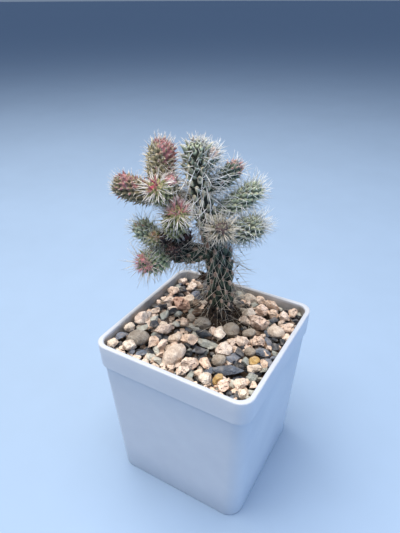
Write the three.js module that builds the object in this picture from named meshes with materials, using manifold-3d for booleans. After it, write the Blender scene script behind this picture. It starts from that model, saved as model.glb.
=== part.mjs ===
// A young cane cholla in a square plastic pot, dressed with gravel.
// Millimetres, +Z up. The origin is the centre of the pot's underside.
import * as THREE from "three";
import { mergeVertices } from "three/addons/utils/BufferGeometryUtils.js";
import Module from "manifold-3d";

const wasm = await Module();
wasm.setup();

// Pot
const potHeight = 80;
const potTopHalf = 37.5;
const bandHeight = 12;
const bandStep = 0.7;
const bandTaper = 0.4;
const potFootHalf = 33;
const rimCorner = 6.4;
const bodyCorner = 7.2;
const rimWall = 2.2;
const bodyWall = 1.6;
const lipRound = 0.6;
const floorThickness = 3;
const floorRound = 1.6;
const footDepth = 1.2;
const footWidth = 5;
const padRadius = 8;
const drainRadius = 3;
const drainSpacing = 17;
const cornerSteps = 4;

// Soil, gravel and the plain holes that the stem stands in
const fitGap = 0.3;
const holeGap = 0.5;
const soilTop = 70;
const bedTop = 74.2;
const gravelTop = 79.2;
const stoneCount = 84;
const stoneSeed = 41;
const stoneLift = 1.1;
const stoneLength = 3.9;
const stoneLengthRange = 1.4;
const stoneHeight = 2.3;
const stoneHeightRange = 0.8;
const stemRoom = 7.5;

// Root crown of the main stem: level and radius, from the gravel down
const collarTop = 76;
const rootLevels = [
  { z: 71, radius: 5.9 },
  { z: 58, radius: 4.9 },
  { z: 46, radius: 3.2 },
];
const rootEnd = rootLevels.at(-1).z;

// The main stem's axis and its radius over the tubercles, from the root to the tip
const stemStations = [
  { x: -0.6, y: 13.2, z: 46, radius: 3.2 },
  { x: -0.6, y: 13.2, z: 76, radius: 6 },
  { x: -1.2, y: 13.1, z: 91, radius: 6.2 },
  { x: -1.9, y: 12.9, z: 106, radius: 6.1 },
  { x: -3.4, y: 12.2, z: 118, radius: 5.8 },
  { x: -8.2, y: 10.2, z: 130, radius: 5.1 },
  { x: -10.4, y: 9.1, z: 144, radius: 4.5 },
  { x: -11, y: 8.5, z: 160.5, radius: 4.2 },
];

const white = new THREE.MeshStandardMaterial({ color: 0xdfe1ea, roughness: 0.4, metalness: 0 });
const earth = new THREE.MeshStandardMaterial({ color: 0x3b2c23, roughness: 0.95, metalness: 0 });
const stone = new THREE.MeshStandardMaterial({ color: 0xc9ad98, roughness: 0.85, metalness: 0 });
const oldGreen = new THREE.MeshStandardMaterial({ color: 0x3e4a36, roughness: 0.7, metalness: 0 });
const greyGreen = new THREE.MeshStandardMaterial({ color: 0x8b9478, roughness: 0.7, metalness: 0 });
const redGreen = new THREE.MeshStandardMaterial({ color: 0x94806c, roughness: 0.7, metalness: 0 });
const darkRed = new THREE.MeshStandardMaterial({ color: 0x54403a, roughness: 0.7, metalness: 0 });

// The joints. Each grows from its carrier's axis: at is the share of the carrier's length,
// heading and rise are degrees, and length, width and spine (its spines' length) are millimetres.
const jointList = [
  {
    name: "branch_upper_left", on: "main_stem", skin: greyGreen,
    at: 0.76, heading: -149, rise: 16, length: 17.5, width: 9.2, spine: 6,
  },
  {
    name: "joint_top_left", on: "branch_upper_left", skin: redGreen,
    at: 0.94, heading: 122, rise: 76, length: 24, width: 11, spine: 4.2,
  },
  {
    name: "joint_far_left", on: "branch_upper_left", skin: redGreen,
    at: 0.97, heading: -145, rise: 19, length: 21.5, width: 10.6, spine: 3.8,
  },
  {
    name: "joint_star_left", on: "branch_upper_left", skin: redGreen,
    at: 0.84, heading: -79, rise: 36, length: 17, width: 10, spine: 6.5,
  },
  {
    name: "joint_small_pink", on: "branch_upper_left", skin: redGreen,
    at: 0.6, heading: -88, rise: 61, length: 14.8, width: 6.2, spine: 4.5,
  },
  {
    name: "arm_lower_left", on: "main_stem", skin: oldGreen,
    at: 0.57, heading: -151, rise: -4, length: 22, width: 9, spine: 7,
  },
  {
    name: "stub_left", on: "arm_lower_left", skin: oldGreen,
    at: 0.8, heading: -128, rise: 76, length: 11.8, width: 8, spine: 5,
  },
  {
    name: "joint_star_centre", on: "stub_left", skin: redGreen,
    at: 0.87, heading: -46, rise: 58, length: 21.5, width: 10.8, spine: 6.5,
  },
  {
    name: "joint_low_left", on: "arm_lower_left", skin: redGreen,
    at: 0.92, heading: -135, rise: -9, length: 16.5, width: 11, spine: 6,
  },
  {
    name: "joint_mid_left", on: "arm_lower_left", skin: greyGreen,
    at: 0.93, heading: -157, rise: 42, length: 21, width: 8.6, spine: 5,
  },
  {
    name: "bud_mid_left", on: "joint_mid_left", skin: greyGreen,
    at: 0.42, heading: -62, rise: 40, length: 11, width: 5.6, spine: 3.5,
  },
  {
    name: "bud_dark_inner", on: "arm_lower_left", skin: darkRed,
    at: 0.62, heading: -84, rise: 75, length: 13.6, width: 5.8, spine: 3.5,
  },
  {
    name: "bud_dark_left", on: "stub_left", skin: darkRed,
    at: 0.62, heading: -112, rise: 29, length: 10, width: 5.8, spine: 3.5,
  },
  {
    name: "bud_dark_front", on: "arm_lower_left", skin: darkRed,
    at: 0.85, heading: -66, rise: 42, length: 12.5, width: 5.8, spine: 3.5,
  },
  {
    name: "joint_top_right", on: "main_stem", skin: greyGreen,
    at: 0.89, heading: 42, rise: 52, length: 11.6, width: 6.8, spine: 5,
  },
  {
    name: "joint_upper_right", on: "main_stem", skin: greyGreen,
    at: 0.8, heading: 49, rise: 35, length: 21, width: 7, spine: 5,
  },
  {
    name: "joint_mid_right", on: "main_stem", skin: greyGreen,
    at: 0.71, heading: 41, rise: 29, length: 26.5, width: 8.5, spine: 5,
  },
  {
    name: "joint_low_right", on: "main_stem", skin: greyGreen,
    at: 0.63, heading: 18, rise: 22, length: 21.8, width: 10.2, spine: 5.5,
  },
  {
    name: "joint_front", on: "main_stem", skin: greyGreen,
    at: 0.61, heading: -54, rise: 43, length: 19.3, width: 8.4, spine: 6.5,
  },
];

// How a joint is shaped
const jointSag = 0.1;
const neckShare = 0.62;
const neckEnd = 0.4;
const rootedShare = 0.62;
const jointRowGap = 3.45;
const jointLean = 50;
const stemAround = 7;
const stemRowGap = 3.8;
const stemLean = 58;
const stemSpine = 8.5;
const oldDroop = 0.95;
const youngDroop = -0.15;

// Tubercles, in rows that lean a little round the joint, and the areoles on them
const rowTwist = 0.13;
const tipGap = 0.9;
const poleRadius = 0.7;
const valleyShare = 0.22;
const valleyMost = 1.25;
const areoleHalf = 0.45;
const areoleCrown = 0.12;
const areoleTilt = 0.25;
const axisSamples = 240;

// Room kept between two spines, and between a spine and another joint's skin
const spineGap = 0.45;
const skinGap = 0.8;
const spineTries = 6;

// Small helpers

function seeded(seed) {
  let state = seed >>> 0;
  return () => {
    state = (state + 0x6d2b79f5) >>> 0;
    let value = Math.imul(state ^ (state >>> 15), 1 | state);
    value = (value + Math.imul(value ^ (value >>> 7), 61 | value)) ^ value;
    return ((value ^ (value >>> 14)) >>> 0) / 4294967296;
  };
}

function shapeFrom(positions, faces) {
  const geometry = new THREE.BufferGeometry();
  geometry.setAttribute("position", new THREE.Float32BufferAttribute(positions, 3));
  geometry.setIndex(faces);
  return geometry;
}

function solidFrom(geometry) {
  const bare = geometry.clone();
  bare.deleteAttribute("normal");
  bare.deleteAttribute("uv");
  const merged = mergeVertices(bare, 1e-4);
  const vertProperties = new Float32Array(merged.attributes.position.array);
  const triVerts = new Uint32Array(merged.index.array);
  return new wasm.Manifold(new wasm.Mesh({ numProp: 3, vertProperties, triVerts }));
}

function geometryFrom(solid) {
  const mesh = solid.getMesh();
  return shapeFrom(Array.from(mesh.vertProperties), Array.from(mesh.triVerts));
}

// Keeps the largest connected body, so that no loose scrap is left by a cut
function largestBody(geometry) {
  const merged = mergeVertices(geometry, 1e-3);
  const index = merged.index.array;
  const leader = Array.from({ length: merged.attributes.position.count }, (_, i) => i);
  const find = (i) => {
    while (leader[i] !== i) {
      leader[i] = leader[leader[i]];
      i = leader[i];
    }
    return i;
  };
  for (let k = 0; k < index.length; k += 3) {
    leader[find(index[k])] = find(index[k + 1]);
    leader[find(index[k + 1])] = find(index[k + 2]);
  }
  const size = new Map();
  for (let k = 0; k < index.length; k += 3) {
    const body = find(index[k]);
    size.set(body, (size.get(body) ?? 0) + 1);
  }
  const main = [...size.entries()].sort((a, b) => b[1] - a[1])[0][0];
  const faces = [];
  for (let k = 0; k < index.length; k += 3) {
    const corners = [index[k], index[k + 1], index[k + 2]];
    const flat = new Set(corners).size < 3;
    if (find(index[k]) === main && !flat) faces.push(...corners);
  }
  const kept = shapeFrom(Array.from(merged.attributes.position.array), faces);
  return mergeVertices(kept.toNonIndexed(), 1e-5);
}

// One level ring of a rounded square, anticlockwise seen from above
function squareRing(half, corner, z) {
  const ring = [];
  const centre = half - corner;
  const signs = [[1, 1], [-1, 1], [-1, -1], [1, -1]];
  signs.forEach(([sx, sy], quarter) => {
    for (let step = 0; step <= cornerSteps; step++) {
      const angle = (Math.PI / 2) * (quarter + step / cornerSteps);
      const x = sx * centre + corner * Math.cos(angle);
      const y = sy * centre + corner * Math.sin(angle);
      ring.push(new THREE.Vector3(x, y, z));
    }
  });
  return ring;
}

// A closed skin through level rings, from the lowest cap to the last one
function loft(rings) {
  const count = rings[0].length;
  const positions = rings.flat().flatMap((p) => [p.x, p.y, p.z]);
  const faces = [];
  for (let r = 0; r + 1 < rings.length; r++) {
    for (let i = 0; i < count; i++) {
      const next = (i + 1) % count;
      const a = r * count + i;
      const b = r * count + next;
      faces.push(a, b, b + count, a, b + count, a + count);
    }
  }
  const last = (rings.length - 1) * count;
  for (let i = 1; i + 1 < count; i++) {
    faces.push(0, i + 1, i);
    faces.push(last, last + i, last + i + 1);
  }
  return shapeFrom(positions, faces);
}

function uprightCylinder(radius, low, high, sides) {
  const geometry = new THREE.CylinderGeometry(radius, radius, high - low, sides);
  geometry.rotateX(Math.PI / 2);
  geometry.translate(0, 0, (low + high) / 2);
  return geometry;
}

// Pot

const bandLow = potHeight - bandHeight;
const bandLowHalf = potTopHalf - bandTaper;
const bodyTopHalf = bandLowHalf - bandStep;
const innerTopHalf = potTopHalf - rimWall;
const innerBandHalf = bodyTopHalf - bodyWall;
const innerFootHalf = potFootHalf - bodyWall;
const innerCorner = bodyCorner - bodyWall;

function potInnerHalf(z) {
  const share = (z - floorThickness) / (bandLow - floorThickness);
  return innerFootHalf + (innerBandHalf - innerFootHalf) * Math.min(share, 1);
}

function makePot() {
  const lip = lipRound;
  const rings = [
    squareRing(potFootHalf - lip, bodyCorner - lip, 0),
    squareRing(potFootHalf, bodyCorner, lip * 2),
    squareRing(bodyTopHalf, bodyCorner, bandLow - 0.5),
    squareRing(bandLowHalf, rimCorner + 0.4, bandLow),
    squareRing(potTopHalf, rimCorner, potHeight - lip),
    squareRing(potTopHalf - lip / 2, rimCorner - lip / 2, potHeight),
    squareRing(innerTopHalf + lip / 2, rimCorner - 1.2, potHeight),
    squareRing(innerTopHalf, rimCorner - 1.5, potHeight - lip),
    squareRing(innerBandHalf, innerCorner, bandLow),
    squareRing(innerFootHalf, innerCorner, floorThickness + floorRound),
    squareRing(innerFootHalf - floorRound / 2, innerCorner - floorRound / 2, floorThickness),
  ];
  const recessHalf = potFootHalf - footWidth;
  const recess = loft([
    squareRing(recessHalf, innerCorner, -1),
    squareRing(recessHalf, innerCorner, footDepth),
  ]);
  const pad = uprightCylinder(padRadius, -2, footDepth + 1, 16);
  const hollow = solidFrom(recess).subtract(solidFrom(pad));
  let pot = solidFrom(loft(rings)).subtract(hollow);
  for (const sx of [-1, 1]) {
    for (const sy of [-1, 1]) {
      const drain = uprightCylinder(drainRadius, -1, floorThickness + 1, 12);
      drain.translate(sx * drainSpacing, sy * drainSpacing, 0);
      pot = pot.subtract(solidFrom(drain));
    }
  }
  return geometryFrom(pot);
}

// The plant's joints, as forms without a skin

// Rounds the end of a joint like a dome
function dome(s, length, radius) {
  const start = length - radius;
  const share = Math.max(0, (s - start) / radius);
  return Math.sqrt(Math.max(0, 1 - share ** 2));
}

function withAxis(joint, curve) {
  joint.curve = curve;
  joint.length = curve.getLength();
  joint.frames = curve.computeFrenetFrames(axisSamples, false);
  joint.frameAt = (s) => {
    const share = Math.min(Math.max(s / joint.length, 0), 1);
    const k = Math.round(share * axisSamples);
    return {
      centre: curve.getPointAt(share),
      tangent: joint.frames.tangents[k],
      side: joint.frames.normals[k],
      other: joint.frames.binormals[k],
    };
  };
  return joint;
}

function makeStem() {
  const points = stemStations.map((p) => new THREE.Vector3(p.x, p.y, p.z));
  const form = {
    name: "main_stem",
    skin: oldGreen,
    around: stemAround,
    rowGap: stemRowGap,
    lean: stemLean,
    spineLength: stemSpine,
    rootLevels,
  };
  const curve = new THREE.CatmullRomCurve3(points, false, "centripetal");
  const stem = withAxis(form, curve);
  stem.base = collarTop - rootEnd;
  stem.droopAt = (s) => {
    const share = (s - stem.base) / (stem.length - stem.base);
    return THREE.MathUtils.lerp(oldDroop, youngDroop, Math.min(share * 1.15, 1));
  };
  stem.radiusAt = (s) => {
    const z = stem.frameAt(s).centre.z;
    let k = 1;
    while (k + 1 < stemStations.length && stemStations[k].z < z) k++;
    const low = stemStations[k - 1];
    const high = stemStations[k];
    const share = (z - low.z) / (high.z - low.z);
    return THREE.MathUtils.lerp(low.radius, high.radius, Math.min(Math.max(share, 0), 1)) *
      dome(s, stem.length, high.radius);
  };
  return stem;
}

// A joint leaves its carrier, sags a little and turns up again to the light
function makeJoint(row, carrier) {
  const heading = THREE.MathUtils.degToRad(row.heading);
  const rise = THREE.MathUtils.degToRad(row.rise);
  const reach = row.length * Math.cos(rise);
  const start = carrier.curve.getPointAt(row.at);
  const tip = start.clone();
  tip.x += reach * Math.cos(heading);
  tip.y += reach * Math.sin(heading);
  tip.z += row.length * Math.sin(rise);
  const bend = start.clone().lerp(tip, 0.5);
  bend.z -= reach * jointSag;
  const radius = row.width / 2;
  const joint = withAxis({
    name: row.name,
    skin: row.skin,
    around: radius > 5.2 ? 7 : radius > 3.6 ? 6 : 5,
    rowGap: jointRowGap,
    lean: jointLean,
    droopAt: () => 0,
    spineLength: row.spine,
  }, new THREE.QuadraticBezierCurve3(start, bend, tip));
  joint.base = carrier.radiusAt(row.at * carrier.length) * rootedShare;
  joint.radiusAt = (s) => {
    const share = Math.min(Math.max((s - joint.base) / (joint.length - joint.base), 0), 1);
    const neck = neckShare + (1 - neckShare) * THREE.MathUtils.smoothstep(share, 0, neckEnd);
    return radius * neck * dome(s, joint.length, radius);
  };
  return joint;
}

// Lays the tubercles on a joint in a leaning diamond net. Each cell holds its four net corners,
// its raised areole and, later, the tips of its spines.
function layTubercles(joint) {
  const reach = joint.length - tipGap - joint.base;
  const rows = Math.max(2, Math.round(reach / joint.rowGap));
  const step = reach / rows;
  const slice = (2 * Math.PI) / joint.around;
  joint.rows = rows;
  joint.cornerAngle = (j, i) => (i + 0.5 + 0.5 * (j % 2)) * slice + rowTwist * j;
  joint.ringAt = (j) => joint.base + step * j;
  joint.cells = [];
  for (let j = 1; j < rows; j++) {
    for (let i = 0; i < joint.around; i++) {
      const angle = (i + 0.5 * (j % 2)) * slice + rowTwist * (j + 0.25);
      joint.cells.push({ j, i, angle, s: joint.ringAt(j + 0.25), spines: [null, null, null, null] });
    }
  }
}

function onSkin(joint, s, angle, radius) {
  const frame = joint.frameAt(s);
  const out = frame.side.clone().multiplyScalar(Math.cos(angle));
  out.addScaledVector(frame.other, Math.sin(angle));
  return { point: frame.centre.clone().addScaledVector(out, radius), out, tangent: frame.tangent };
}

// Outward direction of the skin, which leans to the tip where the joint narrows
function skinNormal(joint, s, angle) {
  const delta = 0.4;
  const slope = (joint.radiusAt(s + delta) - joint.radiusAt(s - delta)) / (2 * delta);
  const { out, tangent } = onSkin(joint, s, angle, 0);
  return out.clone().addScaledVector(tangent, -Math.max(slope, -2.5)).normalize();
}

function areole(joint, cell, swell) {
  const radius = joint.radiusAt(cell.s) + swell;
  const { point, tangent } = onSkin(joint, cell.s, cell.angle, radius);
  const normal = skinNormal(joint, cell.s, cell.angle);
  const across = new THREE.Vector3().crossVectors(tangent, normal).normalize();
  const along = new THREE.Vector3().crossVectors(normal, across).normalize();
  const face = normal.clone().addScaledVector(along, areoleTilt).normalize();
  const rise = new THREE.Vector3().crossVectors(face, across).normalize();
  const at = (a, b) => point.clone().addScaledVector(across, a).addScaledVector(rise, b);
  return {
    centre: point.clone().addScaledVector(face, areoleCrown),
    corners: [at(0, -areoleHalf * 1.1), at(areoleHalf, 0), at(0, areoleHalf * 1.1), at(-areoleHalf, 0)],
    face,
    across,
    rise,
  };
}

// The small raised triangle between two net corners and the pole, where a young areole sits
function tipScale(joint, i, swell) {
  const s = joint.ringAt(joint.rows) + 0.35;
  const angle = joint.cornerAngle(joint.rows, i + 0.5);
  const { point } = onSkin(joint, s, angle, valleyRadius(joint, s) * 0.86 + swell);
  const normal = skinNormal(joint, s, angle);
  const across = new THREE.Vector3().crossVectors(joint.frameAt(s).tangent, normal).normalize();
  const rise = new THREE.Vector3().crossVectors(normal, across).normalize();
  point.addScaledVector(normal, 0.5);
  const at = (a, b) => point.clone().addScaledVector(across, a).addScaledVector(rise, b);
  return [at(-0.4, -0.3), at(0.4, -0.3), at(0, 0.4)];
}

function valleyRadius(joint, s) {
  const radius = joint.radiusAt(s);
  return radius - Math.min(valleyMost, radius * valleyShare);
}

// The skin of a joint, swollen by a margin when it stands for the room that the joint takes
function jointSkin(joint, swell, withSpines) {
  const positions = [];
  const faces = [];
  const add = (p) => positions.push(p.x, p.y, p.z) / 3 - 1;
  const around = joint.around;
  const rows = joint.rows;
  const wrap = (i) => ((i % around) + around) % around;
  const net = [];
  for (let j = 0; j <= rows; j++) {
    const s = joint.ringAt(j);
    const ring = [];
    for (let i = 0; i < around; i++) {
      ring.push(add(onSkin(joint, s, joint.cornerAngle(j, i), valleyRadius(joint, s) + swell).point));
    }
    net.push(ring);
  }
  const corner = (j, i) => net[j][wrap(i)];
  const spike = (a, b, c, tip) => {
    if (!withSpines || !tip) {
      faces.push(a, b, c);
      return;
    }
    const apex = add(tip);
    faces.push(a, b, apex, b, c, apex, c, a, apex);
  };
  for (const cell of joint.cells) {
    const { j, i } = cell;
    const beside = j % 2 ? i : i - 1;
    const outer = [corner(j - 1, beside), corner(j, i), corner(j + 1, beside), corner(j, i - 1)];
    const spot = areole(joint, cell, swell);
    const inner = spot.corners.map(add);
    const centre = add(spot.centre);
    for (let k = 0; k < 4; k++) {
      const n = (k + 1) % 4;
      faces.push(outer[k], outer[n], inner[n], outer[k], inner[n], inner[k]);
      spike(centre, inner[k], inner[n], cell.spines[k]);
    }
  }
  for (let i = 0; i < around; i++) {
    faces.push(corner(0, i), corner(0, i + 1), corner(1, i));
    const top = (rows - 1) % 2 ? i : i - 1;
    faces.push(corner(rows - 1, i), corner(rows, top + 1), corner(rows, top));
  }
  const tipRing = [];
  const tipFrame = joint.frameAt(joint.length);
  const pole = tipFrame.centre.clone().addScaledVector(tipFrame.tangent, swell);
  for (let i = 0; i < around; i++) {
    const ringPoint = onSkin(joint, joint.length, joint.cornerAngle(rows, i), poleRadius + swell).point;
    tipRing.push(add(ringPoint.addScaledVector(tipFrame.tangent, swell - areoleCrown)));
  }
  const tip = add(pole);
  for (let i = 0; i < around; i++) {
    const n = wrap(i + 1);
    const scale = tipScale(joint, i, swell).map(add);
    const [a, b, c, d] = [corner(rows, i), corner(rows, n), tipRing[n], tipRing[i]];
    faces.push(a, b, scale[1], a, scale[1], scale[0], b, c, scale[2], b, scale[2], scale[1]);
    faces.push(c, d, scale[2], d, a, scale[0], d, scale[0], scale[2]);
    spike(scale[0], scale[1], scale[2], joint.scaleSpines[i]);
    spike(tipRing[i], tipRing[n], tip, joint.poleSpines[i]);
  }
  closeBase(joint, swell, positions, faces, net[0], add);
  return shapeFrom(positions, faces);
}

// The lower end: flat where a carrier takes it, and the long root crown on the main stem
function closeBase(joint, swell, positions, faces, firstRing, add) {
  const around = joint.around;
  let ring = firstRing;
  for (const level of joint.rootLevels ?? []) {
    const next = [];
    for (let i = 0; i < around; i++) {
      const angle = joint.cornerAngle(0, i);
      const p = onSkin(joint, joint.base, angle, level.radius + swell).point;
      const frame = joint.frameAt(0);
      next.push(add(new THREE.Vector3(
        frame.centre.x + p.x - joint.frameAt(joint.base).centre.x,
        frame.centre.y + p.y - joint.frameAt(joint.base).centre.y,
        level.z,
      )));
    }
    for (let i = 0; i < around; i++) {
      const n = (i + 1) % around;
      faces.push(next[i], next[n], ring[n], next[i], ring[n], ring[i]);
    }
    ring = next;
  }
  const centre = new THREE.Vector3();
  for (const k of ring) centre.add(new THREE.Vector3().fromArray(positions, 3 * k));
  const hub = add(centre.divideScalar(around));
  for (let i = 0; i < around; i++) faces.push(hub, ring[(i + 1) % around], ring[i]);
}

const stem = makeStem();
const plant = new Map([["main_stem", stem]]);
for (const row of jointList) plant.set(row.name, makeJoint(row, plant.get(row.on)));
const joints = [...plant.values()];
joints.forEach(layTubercles);

// Distance from a point to the outside of a joint, below zero inside it
function makeProbe(joint) {
  const count = Math.ceil(joint.length / 1.2);
  const low = joint === stem ? joint.base : joint.base * 1.2;
  const knots = [];
  for (let k = 0; k <= count; k++) {
    const s = low + ((joint.length - 0.6 - low) * k) / count;
    const radius = Math.max(joint.radiusAt(s), 0.6);
    knots.push({ centre: joint.frameAt(s).centre, radius });
  }
  return (point) => {
    let best = Infinity;
    for (const knot of knots) best = Math.min(best, point.distanceTo(knot.centre) - knot.radius);
    return best;
  };
}

const probes = joints.map(makeProbe);
const laid = [];

function segmentDistance(a, b) {
  const u = a.tip.clone().sub(a.root);
  const v = b.tip.clone().sub(b.root);
  const w = a.root.clone().sub(b.root);
  const uu = u.dot(u);
  const uv = u.dot(v);
  const vv = v.dot(v);
  const uw = u.dot(w);
  const vw = v.dot(w);
  const det = uu * vv - uv * uv;
  let s = det > 1e-9 ? THREE.MathUtils.clamp((uv * vw - vv * uw) / det, 0, 1) : 0;
  const t = THREE.MathUtils.clamp((uv * s + vw) / vv, 0, 1);
  s = THREE.MathUtils.clamp((uv * t - uw) / uu, 0, 1);
  return a.root.clone().addScaledVector(u, s).distanceTo(b.root.clone().addScaledVector(v, t));
}

function spineFits(spine) {
  const own = spine.joint;
  for (const share of [0.3, 0.5, 0.75, 1]) {
    const point = spine.root.clone().lerp(spine.tip, share);
    if (point.z < gravelTop + skinGap) return false;
    for (let k = 0; k < joints.length; k++) {
      const margin = joints[k] === own ? fitGap / 2 : skinGap;
      if (probes[k](point) < margin) return false;
    }
  }
  for (let k = 0; k < joints.length; k++) {
    if (joints[k] !== own && probes[k](spine.root) < skinGap) return false;
  }
  for (const other of laid) {
    if (other.areole === spine.areole) continue;
    if (other.middle.distanceTo(spine.middle) > (other.size + spine.size) / 2 + 1) continue;
    if (segmentDistance(other, spine) < spineGap) return false;
  }
  return true;
}

// Tries a few directions and lengths for one spine, and leaves its place bare if none is free
function growSpine(joint, areoleKey, root, wish, length, random) {
  for (let attempt = 0; attempt < spineTries; attempt++) {
    const wobble = 0.18 + 0.07 * attempt;
    const direction = wish.clone();
    direction.x += (random() - 0.5) * wobble;
    direction.y += (random() - 0.5) * wobble;
    direction.z += (random() - 0.5) * wobble;
    direction.normalize();
    const size = length * (0.85 + 0.3 * random()) * (1 - 0.09 * attempt);
    const tip = root.clone().addScaledVector(direction, size);
    const middle = root.clone().lerp(tip, 0.5);
    const spine = { joint, areole: areoleKey, root, tip, middle, size };
    if (spineFits(spine)) {
      laid.push(spine);
      return tip;
    }
  }
  return null;
}

function growSpines(joint, order) {
  const random = seeded(1000 + 17 * order);
  const lean = THREE.MathUtils.degToRad(joint.lean);
  const sectors = [[1, -1], [1, 1], [-1, 1], [-1, -1]];
  const pole = joint.frameAt(joint.length);
  joint.poleSpines = [];
  joint.scaleSpines = [];
  for (let i = 0; i < joint.around; i++) {
    const angle = joint.cornerAngle(joint.rows, i + 0.5);
    const { point, out } = onSkin(joint, joint.length, angle, 0.4);
    const polar = pole.tangent.clone().addScaledVector(out, 0.5);
    const shorter = joint.spineLength * 0.7;
    joint.poleSpines.push(growSpine(joint, joint.name + "_pole", point, polar, shorter, random));
    const [a, b, c] = tipScale(joint, i, 0);
    const root = a.add(b).add(c).divideScalar(3);
    const leaning = pole.tangent.clone().addScaledVector(out, 1.1);
    const nearly = joint.spineLength * 0.9;
    joint.scaleSpines.push(growSpine(joint, joint.name + "_scale" + i, root, leaning, nearly, random));
  }
  joint.cells.forEach((cell, number) => {
    const spot = areole(joint, cell, 0);
    sectors.forEach(([a, b], k) => {
      const root = spot.corners[k].clone().add(spot.corners[(k + 1) % 4]).add(spot.centre).divideScalar(3);
      const wish = spot.face.clone().multiplyScalar(Math.cos(lean));
      wish.addScaledVector(spot.across, a * 0.74 * Math.sin(lean));
      wish.addScaledVector(spot.rise, b * 0.67 * Math.sin(lean));
      wish.z -= joint.droopAt(cell.s);
      wish.normalize();
      cell.spines[k] = growSpine(joint, joint.name + number, root, wish, joint.spineLength, random);
    });
  });
}

joints.forEach(growSpines);

// A joint's solid, cut back from the room of its carrier and of the joints already made
function jointSolid(joint, order) {
  let solid = solidFrom(jointSkin(joint, 0, true));
  const box = new THREE.Box3().setFromBufferAttribute(jointSkin(joint, 0, false).attributes.position);
  for (const other of joints.slice(0, order)) {
    const room = jointSkin(other, fitGap, false);
    room.computeBoundingBox();
    if (box.intersectsBox(room.boundingBox)) solid = solid.subtract(solidFrom(room));
  }
  return largestBody(geometryFrom(solid));
}

// Soil: fills the pot's foot to the gravel, with a plain blind hole for the root crown

function insideBlock(low, high) {
  return loft([
    squareRing(potInnerHalf(low) - fitGap, innerCorner, low),
    squareRing(potInnerHalf(high) - fitGap, innerCorner, high),
  ]);
}

// The stem's hole: a little wider than its root crown, and than its tubercles above the gravel
function stemHole() {
  const above = collarTop + 2;
  const profile = [new THREE.Vector2(0, rootEnd)];
  for (const level of [...rootLevels].reverse()) {
    profile.push(new THREE.Vector2(level.radius + holeGap, level.z));
  }
  profile.push(new THREE.Vector2(stemStations[1].radius + holeGap, collarTop));
  profile.push(new THREE.Vector2(stemRoom, above));
  profile.push(new THREE.Vector2(stemRoom, potHeight + 2));
  profile.push(new THREE.Vector2(0, potHeight + 2));
  const geometry = new THREE.LatheGeometry(profile, 14);
  geometry.rotateX(Math.PI / 2);
  geometry.translate(stemStations[0].x, stemStations[0].y, 0);
  return geometry;
}

function makeSoil() {
  const shoulder = floorThickness + floorRound;
  const block = loft([
    squareRing(innerFootHalf - floorRound, innerCorner - 1, floorThickness),
    squareRing(potInnerHalf(shoulder) - fitGap, innerCorner, shoulder + 0.4),
    squareRing(potInnerHalf(soilTop) - fitGap, innerCorner, soilTop),
  ]);
  return geometryFrom(solidFrom(block).subtract(solidFrom(stemHole())));
}

// Gravel: a thin bed of grit with crushed stones sunk into it

function crushedStone(random) {
  const blocky = random() < 0.62;
  const geometry = blocky ? new THREE.BoxGeometry(1.45, 1.45, 1.5) : new THREE.IcosahedronGeometry(1, 0);
  geometry.deleteAttribute("normal");
  geometry.deleteAttribute("uv");
  const merged = mergeVertices(geometry, 1e-4);
  const place = merged.attributes.position;
  for (let k = 0; k < place.count; k++) {
    const grow = blocky ? 0.7 + 0.42 * random() : 0.88 + 0.26 * random();
    place.setXYZ(k, place.getX(k) * grow, place.getY(k) * grow, place.getZ(k) * grow);
  }
  const long = stoneLength + stoneLengthRange * random();
  const broad = long * (0.7 + 0.25 * random());
  merged.scale(long, broad, stoneHeight + stoneHeightRange * random());
  merged.rotateX((random() - 0.5) * 0.8);
  merged.rotateY((random() - 0.5) * 0.8);
  merged.rotateZ(random() * Math.PI);
  return merged;
}

// Spreads the stones: each takes the roomiest of a few random places, clear of the stem
function stoneSites(random) {
  const edge = potInnerHalf(bedTop) - stoneLength + 0.5;
  const axis = new THREE.Vector2(stemStations[0].x, stemStations[0].y);
  const sites = [];
  while (sites.length < stoneCount) {
    let best = null;
    for (let k = 0; k < 14; k++) {
      const site = new THREE.Vector2((random() * 2 - 1) * edge, (random() * 2 - 1) * edge);
      const near = sites.reduce((d, other) => Math.min(d, other.distanceTo(site)), Infinity);
      const room = Math.min(near, (site.distanceTo(axis) - stemRoom) * 1.4);
      if (!best || room > best.room) best = { site, room };
    }
    sites.push(best.site);
  }
  return sites;
}

function makeGravel() {
  const random = seeded(stoneSeed);
  let bed = solidFrom(insideBlock(soilTop, bedTop));
  for (const site of stoneSites(random)) {
    const pebble = crushedStone(random);
    pebble.translate(site.x, site.y, bedTop + stoneLift * (0.3 + 1.4 * random()));
    bed = bed.add(solidFrom(pebble));
  }
  bed = bed.intersect(solidFrom(insideBlock(soilTop, gravelTop)));
  bed = bed.subtract(solidFrom(stemHole()));
  return largestBody(geometryFrom(bed));
}

// The whole plant in its pot

const pottedCholla = new THREE.Group();

function place(name, geometry, material) {
  geometry.computeVertexNormals();
  const mesh = new THREE.Mesh(geometry, material);
  mesh.name = name;
  pottedCholla.add(mesh);
}

place("pot", makePot(), white);
place("soil", makeSoil(), earth);
place("gravel", makeGravel(), stone);
joints.forEach((joint, order) => {
  place(joint.name, jointSolid(joint, order), joint.skin);
});

export default pottedCholla;
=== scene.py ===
import math
import random

import bpy
import numpy as np
from mathutils import Matrix


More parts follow.
